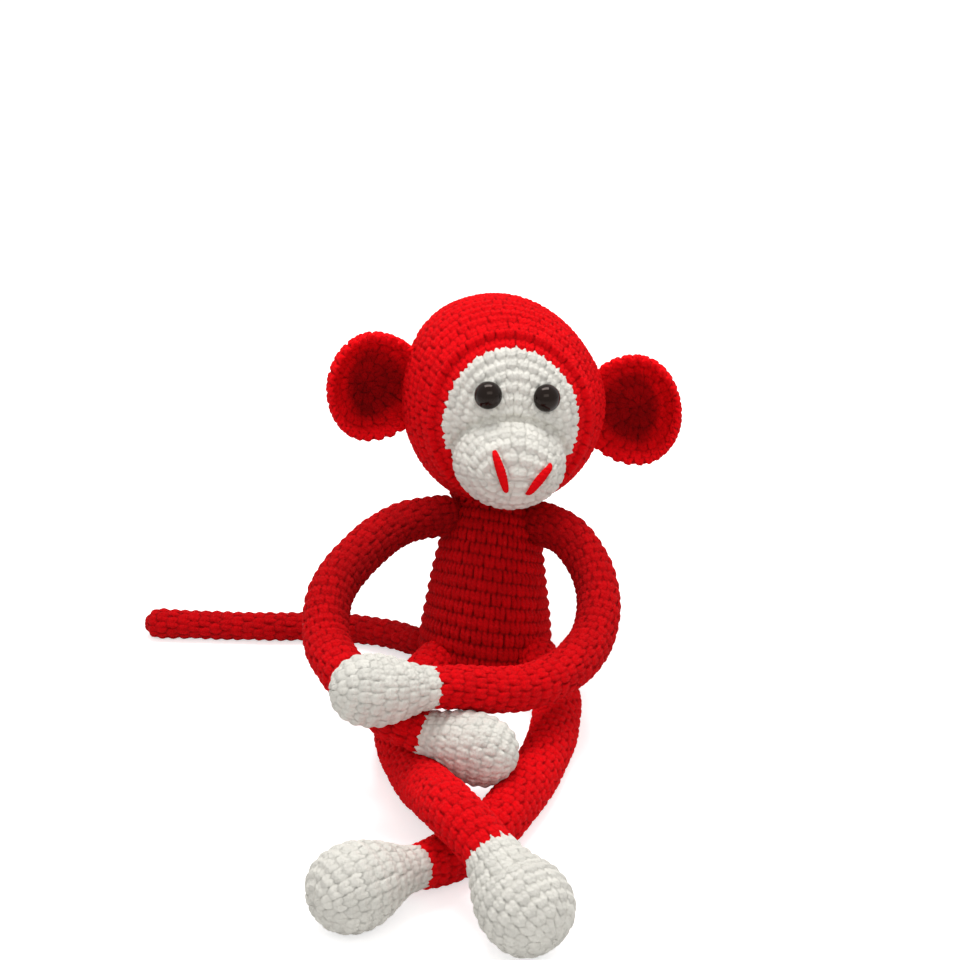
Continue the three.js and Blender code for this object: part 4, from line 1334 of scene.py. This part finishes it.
def make_sleeve(limb, upper, lower, end_node, end_body, bend_share, shape):
    """The red part of a limb, over its two bodies, and its white hand or foot."""
    seed = limb.sizes["seed"]
    counts = limb.counts(bpy.context.scene.monkey_yarn.stitch_width / MM)
    fabric = Fabric(counts, DRIFT, seed=seed, first=limb.end_rounds, drop=EDGE_DROP)
    middle, _ = limb.route.at(np.array([limb.cuff + CLOSING_REACH]))
    inward = 1 if lower.startswith("left") else -1

    def painted_shade(row, turn):
        """Painted shade, deeper near the root, and more so on the side that faces the other limb.

        The painted shade fades from 60 to 140 mm along the limb, and the inner side's from 95 to 135 mm.
        """
        along = limb.along(row)
        inner = np.maximum(inward * np.cos(2 * math.pi * turn), 0) * (1 - ease((along - 95) / 40))
        return limb.sizes["shade"] * (1 - 0.75 * ease((along - 60) / 80) + 0.7 * inner)

    sleeve = crochet(f"{lower}_sleeve", limb.place, samples(limb.end_rounds - 0.6, limb.rounds, 9),
                     ring_of(128), fabric, finish_of("red"), wave=0.3, shape=shape, start_at=middle[0],
                     depth=painted_shade)
    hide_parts(upper, lower)
    at, direction = limb.route.at(np.array([limb.route.length * bend_share]))
    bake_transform(sleeve)

    fabric = Fabric(counts, DRIFT, seed=seed + 1, last=limb.end_rounds, drop=EDGE_DROP, style=SOFT)
    middle, _ = limb.route.at(np.array([limb.cuff - CLOSING_REACH]))
    most = int(counts[:limb.end_rounds].max())
    end_piece = crochet(f"{end_node}_cover", limb.place, samples(0, limb.end_rounds + 0.6, 10),
                        ring_of(10 * most), fabric, finish_of("white"), wave=0.3, shape=shape,
                        end_at=middle[0])
    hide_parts(end_node)
    # Only the left hand turns at its wrist, so its cover is not attached to a body.
    if end_body == "left_hand":
        at, _ = limb.route.at(limb.cuff + np.array(WRIST_BEND))
        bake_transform(end_piece)
    else:
        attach(end_piece, end_body)


class ArmsOperator(bpy.types.Operator):
    """Crochets both arms with their hands, pressed where they lie on one another and on the legs"""
    bl_idname = "monkey.arms"
    bl_label = "Arms and hands"

    def execute(self, context):
        right_arm, left_arm = Limb("right_arm"), Limb("left_arm")
        right_leg, left_leg = Limb("right_leg"), Limb("left_leg")

        def on_the_legs(points):
            return above_floor(right_leg.pushed(left_leg.pushed(points, PRESS_ROOM), PRESS_ROOM))

        def on_the_right_arm(points):
            return right_arm.pushed(points, PRESS_ROOM)

        make_sleeve(right_arm, "right_upper_arm", "right_forearm", "right_hand", "right_forearm",
                    ELBOW_SHARE, on_the_legs)
        make_sleeve(left_arm, "left_upper_arm", "left_forearm", "left_hand", "left_hand",
                    ELBOW_SHARE, on_the_right_arm)
        return {"FINISHED"}


class LegsOperator(bpy.types.Operator):
    """Crochets both legs with their feet, the right one pressed where it crosses the left one"""
    bl_idname = "monkey.legs"
    bl_label = "Legs and feet"

    def execute(self, context):
        left_leg = Limb("left_leg")

        def on_the_left_leg(points):
            return above_floor(left_leg.pushed(points, PRESS_ROOM))

        make_sleeve(left_leg, "left_thigh", "left_shin", "left_foot", "left_shin",
                    KNEE_SHARE, above_floor)
        make_sleeve(Limb("right_leg"), "right_thigh", "right_shin", "right_foot", "right_shin",
                    KNEE_SHARE, on_the_left_leg)
        return {"FINISHED"}


class TailOperator(bpy.types.Operator):
    """Crochets the thin tail, which lies on the ground"""
    bl_idname = "monkey.tail"
    bl_label = "Tail"

    def execute(self, context):
        route = Route(ROUTES["tail"])
        straight = route.length - TAIL_TIP_RADIUS
        angles = np.linspace(0, math.pi / 2, 12)
        distances = np.concatenate([
            straight + TAIL_TIP_RADIUS * np.cos(angles), np.arange(straight - 1, 0, -1.0), [0.0],
            -TAIL_RADIUS * np.sin(angles[1:])])
        # It swells towards the tip over the 19.4 mm from 26 mm before it.
        swell = ease((distances - route.length + 26) / 19.4)
        radii = TAIL_RADIUS + (TAIL_TIP_RADIUS - TAIL_RADIUS) * swell
        radii[:len(angles)] = TAIL_TIP_RADIUS * np.sin(angles)
        radii[1 - len(angles):] = TAIL_RADIUS * np.cos(angles[1:])
        outline = Outline(distances, radii)
        rounds = int(outline.length / (context.scene.monkey_yarn.row_height / MM))
        height = outline.length / rounds

        def place(row, turn):
            distance, radius = outline.at(row * height)
            return tube_places(route, distance, radius, turn)

        def painted_shade(row, turn):
            """Painted shade, deeper at the root, behind the toy, and less so towards the tip."""
            return 0.44 - 0.13 * ease(outline.at(row * height)[0] / 90)

        fabric = Fabric(np.full(rounds, TAIL_STITCHES), 0.4, seed=61)
        tail = crochet("tail_tube", place, samples(0, rounds, 9), ring_of(84), fabric,
                       finish_of("red"), wave=0.25, shape=above_floor, depth=painted_shade)
        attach(tail, "tail")
        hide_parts("tail")
        return {"FINISHED"}


class SeamsOperator(bpy.types.Operator):
    """Whips the head to the torso with slanted stitches of red yarn round the neck"""
    bl_idname = "monkey.seams"
    bl_label = "Neck seam"

    def execute(self, context):
        per_stitch = 8
        turns = np.arange(NECK_WHIPS * per_stitch + 1) / (NECK_WHIPS * per_stitch)
        heights, turn = np.meshgrid(np.linspace(WHIP_LOWEST, NECK_TOP, 240), turns, indexing="ij")
        skin, ring = torso_ring(heights, torso_radius(heights), turn)
        # The crease is where the torso's skin, going up, first enters the head.
        from_centre = (skin - HEAD_CENTRE) @ HEAD_AXES / HEAD_HALF
        meets = (np.linalg.norm(from_centre, axis=-1) < 1).argmax(axis=0)
        column = np.arange(len(turns))
        crease, outward = skin[meets, column], ring[meets, column]
        down = unit(skin[meets - 6, column] - crease)
        head_normal = unit(from_centre[meets, column] / HEAD_HALF @ HEAD_AXES.T)
        along_head = unit(outward - head_normal * (outward * head_normal).sum(axis=1, keepdims=True))
        swing = 2 * math.pi * np.arange(len(turns)) / per_stitch
        up_share, out_share = np.sin(swing)[:, None], np.cos(swing)[:, None]
        line = (crease + WHIP_REACH * down * np.maximum(-up_share, 0)
                + WHIP_REACH * along_head * np.maximum(up_share, 0)
                + unit(outward + head_normal) * (WHIP_LIFT + WHIP_SWING * out_share))
        # The seam's yarn is darkened all along by a painted shade of 0.3.
        seam = yarn_strand("neck_whip_seam", line, WHIP_YARN_RADIUS, finish_of("red"), sides=8,
                           depth=0.3)
        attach(seam, "torso")
        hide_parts("neck_seam_yarn")
        return {"FINISHED"}


class HiddenOperator(bpy.types.Operator):
    """Gives the filling and the eye washers, which stay inside, their own finishes"""
    bl_idname = "monkey.hidden"
    bl_label = "Filling and washers"

    def execute(self, context):
        kinds = {"stuffing": "filling", "washer": "washer"}
        for name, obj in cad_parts.items():
            kind = kinds.get(name.split("_")[-1])
            if kind:
                for slot in obj.material_slots:
                    slot.material = finish_of(kind)
        return {"FINISHED"}


class StageOperator(bpy.types.Operator):
    """Adds the pale floor, the lamps, the white surroundings and the camera"""
    bl_idname = "monkey.stage"
    bl_label = "Stage and camera"

    def execute(self, context):
        stage = context.scene.monkey_stage
        deselect()
        bpy.ops.mesh.primitive_plane_add(size=FLOOR_SIZE, location=(0, 0, 0))
        floor = context.object
        floor.name = "studio_floor"
        bpy.ops.object.transform_apply(location=True, rotation=True, scale=True)
        colour = tuple(context.scene.monkey_colours.floor)
        floor.data.materials.append(floor_material(colour, stage.floor_glow))
        for name, place, aim, power in LAMPS:
            bpy.ops.object.light_add(type="AREA", location=place)
            lamp = context.object
            lamp.name = name
            lamp.data.energy = getattr(stage, power)
            lamp.data.shape = "RECTANGLE"
            lamp.data.size, lamp.data.size_y = LAMP_SIZE
            lamp.rotation_euler = (Vector(aim) - Vector(place)).to_track_quat("-Z", "Y").to_euler()
        world = bpy.data.worlds.new("white_surroundings")
        world.use_nodes = True
        tree = world.node_tree
        tree.nodes.clear()
        strength = add_node(
            tree, "ShaderNodeMapRange", {"To Min": stage.surroundings, "To Max": 1.0},
            {"Value": looked_at(tree)})
        sky = add_node(
            tree, "ShaderNodeBackground", {"Color": (1, 1, 1, 1)}, {"Strength": strength.outputs[0]})
        add_node(tree, "ShaderNodeOutputWorld", {}, {"Surface": sky.outputs[0]})
        context.scene.world = world
        bpy.ops.object.camera_add(
            location=[v * MM for v in CAMERA_PLACE], rotation=(math.radians(CAMERA_PITCH), 0, 0))
        camera = context.object
        camera.name = "photograph_camera"
        camera.data.sensor_width = CAMERA_SENSOR
        camera.data.lens = CAMERA_LENS
        context.scene.camera = camera
        context.scene.view_settings.view_transform = "Standard"
        return {"FINISHED"}


OPERATORS = (
    StageOperator, TorsoOperator, HeadOperator, MuzzleOperator, EyesOperator, EarsOperator,
    LegsOperator, ArmsOperator, TailOperator, SeamsOperator, HiddenOperator,
)


class MonkeyPanel(bpy.types.Panel):
    """Lists the pieces of the crochet monkey in the order of making"""
    bl_idname = "MONKEY_PT_pieces"
    bl_label = "Crochet Monkey"
    bl_space_type = "VIEW_3D"
    bl_region_type = "UI"
    bl_category = "Monkey"

    def draw(self, context):
        for name, cls in GROUPS:
            for key in cls.__annotations__:
                self.layout.prop(getattr(context.scene, name), key)
        for operator in OPERATORS:
            self.layout.operator(operator.bl_idname)


GROUPS = (
    ("monkey_yarn", MonkeyYarn), ("monkey_colours", MonkeyColours), ("monkey_stage", MonkeyStage),
)
CLASSES = (MonkeyYarn, MonkeyColours, MonkeyStage, *OPERATORS, MonkeyPanel)


def register():
    """Registers the settings, the operators and the panel."""
    for cls in CLASSES:
        bpy.utils.register_class(cls)
    for name, cls in GROUPS:
        setattr(bpy.types.Scene, name, bpy.props.PointerProperty(type=cls))


def unregister():
    """Takes away what register added."""
    for name, _ in GROUPS:
        delattr(bpy.types.Scene, name)
    for cls in reversed(CLASSES):
        bpy.utils.unregister_class(cls)


def main():
    """Makes every piece in order."""
    register()
    for operator in OPERATORS:
        group, name = operator.bl_idname.split(".")
        getattr(getattr(bpy.ops, group), name)()


if __name__ == "__main__":
    main()
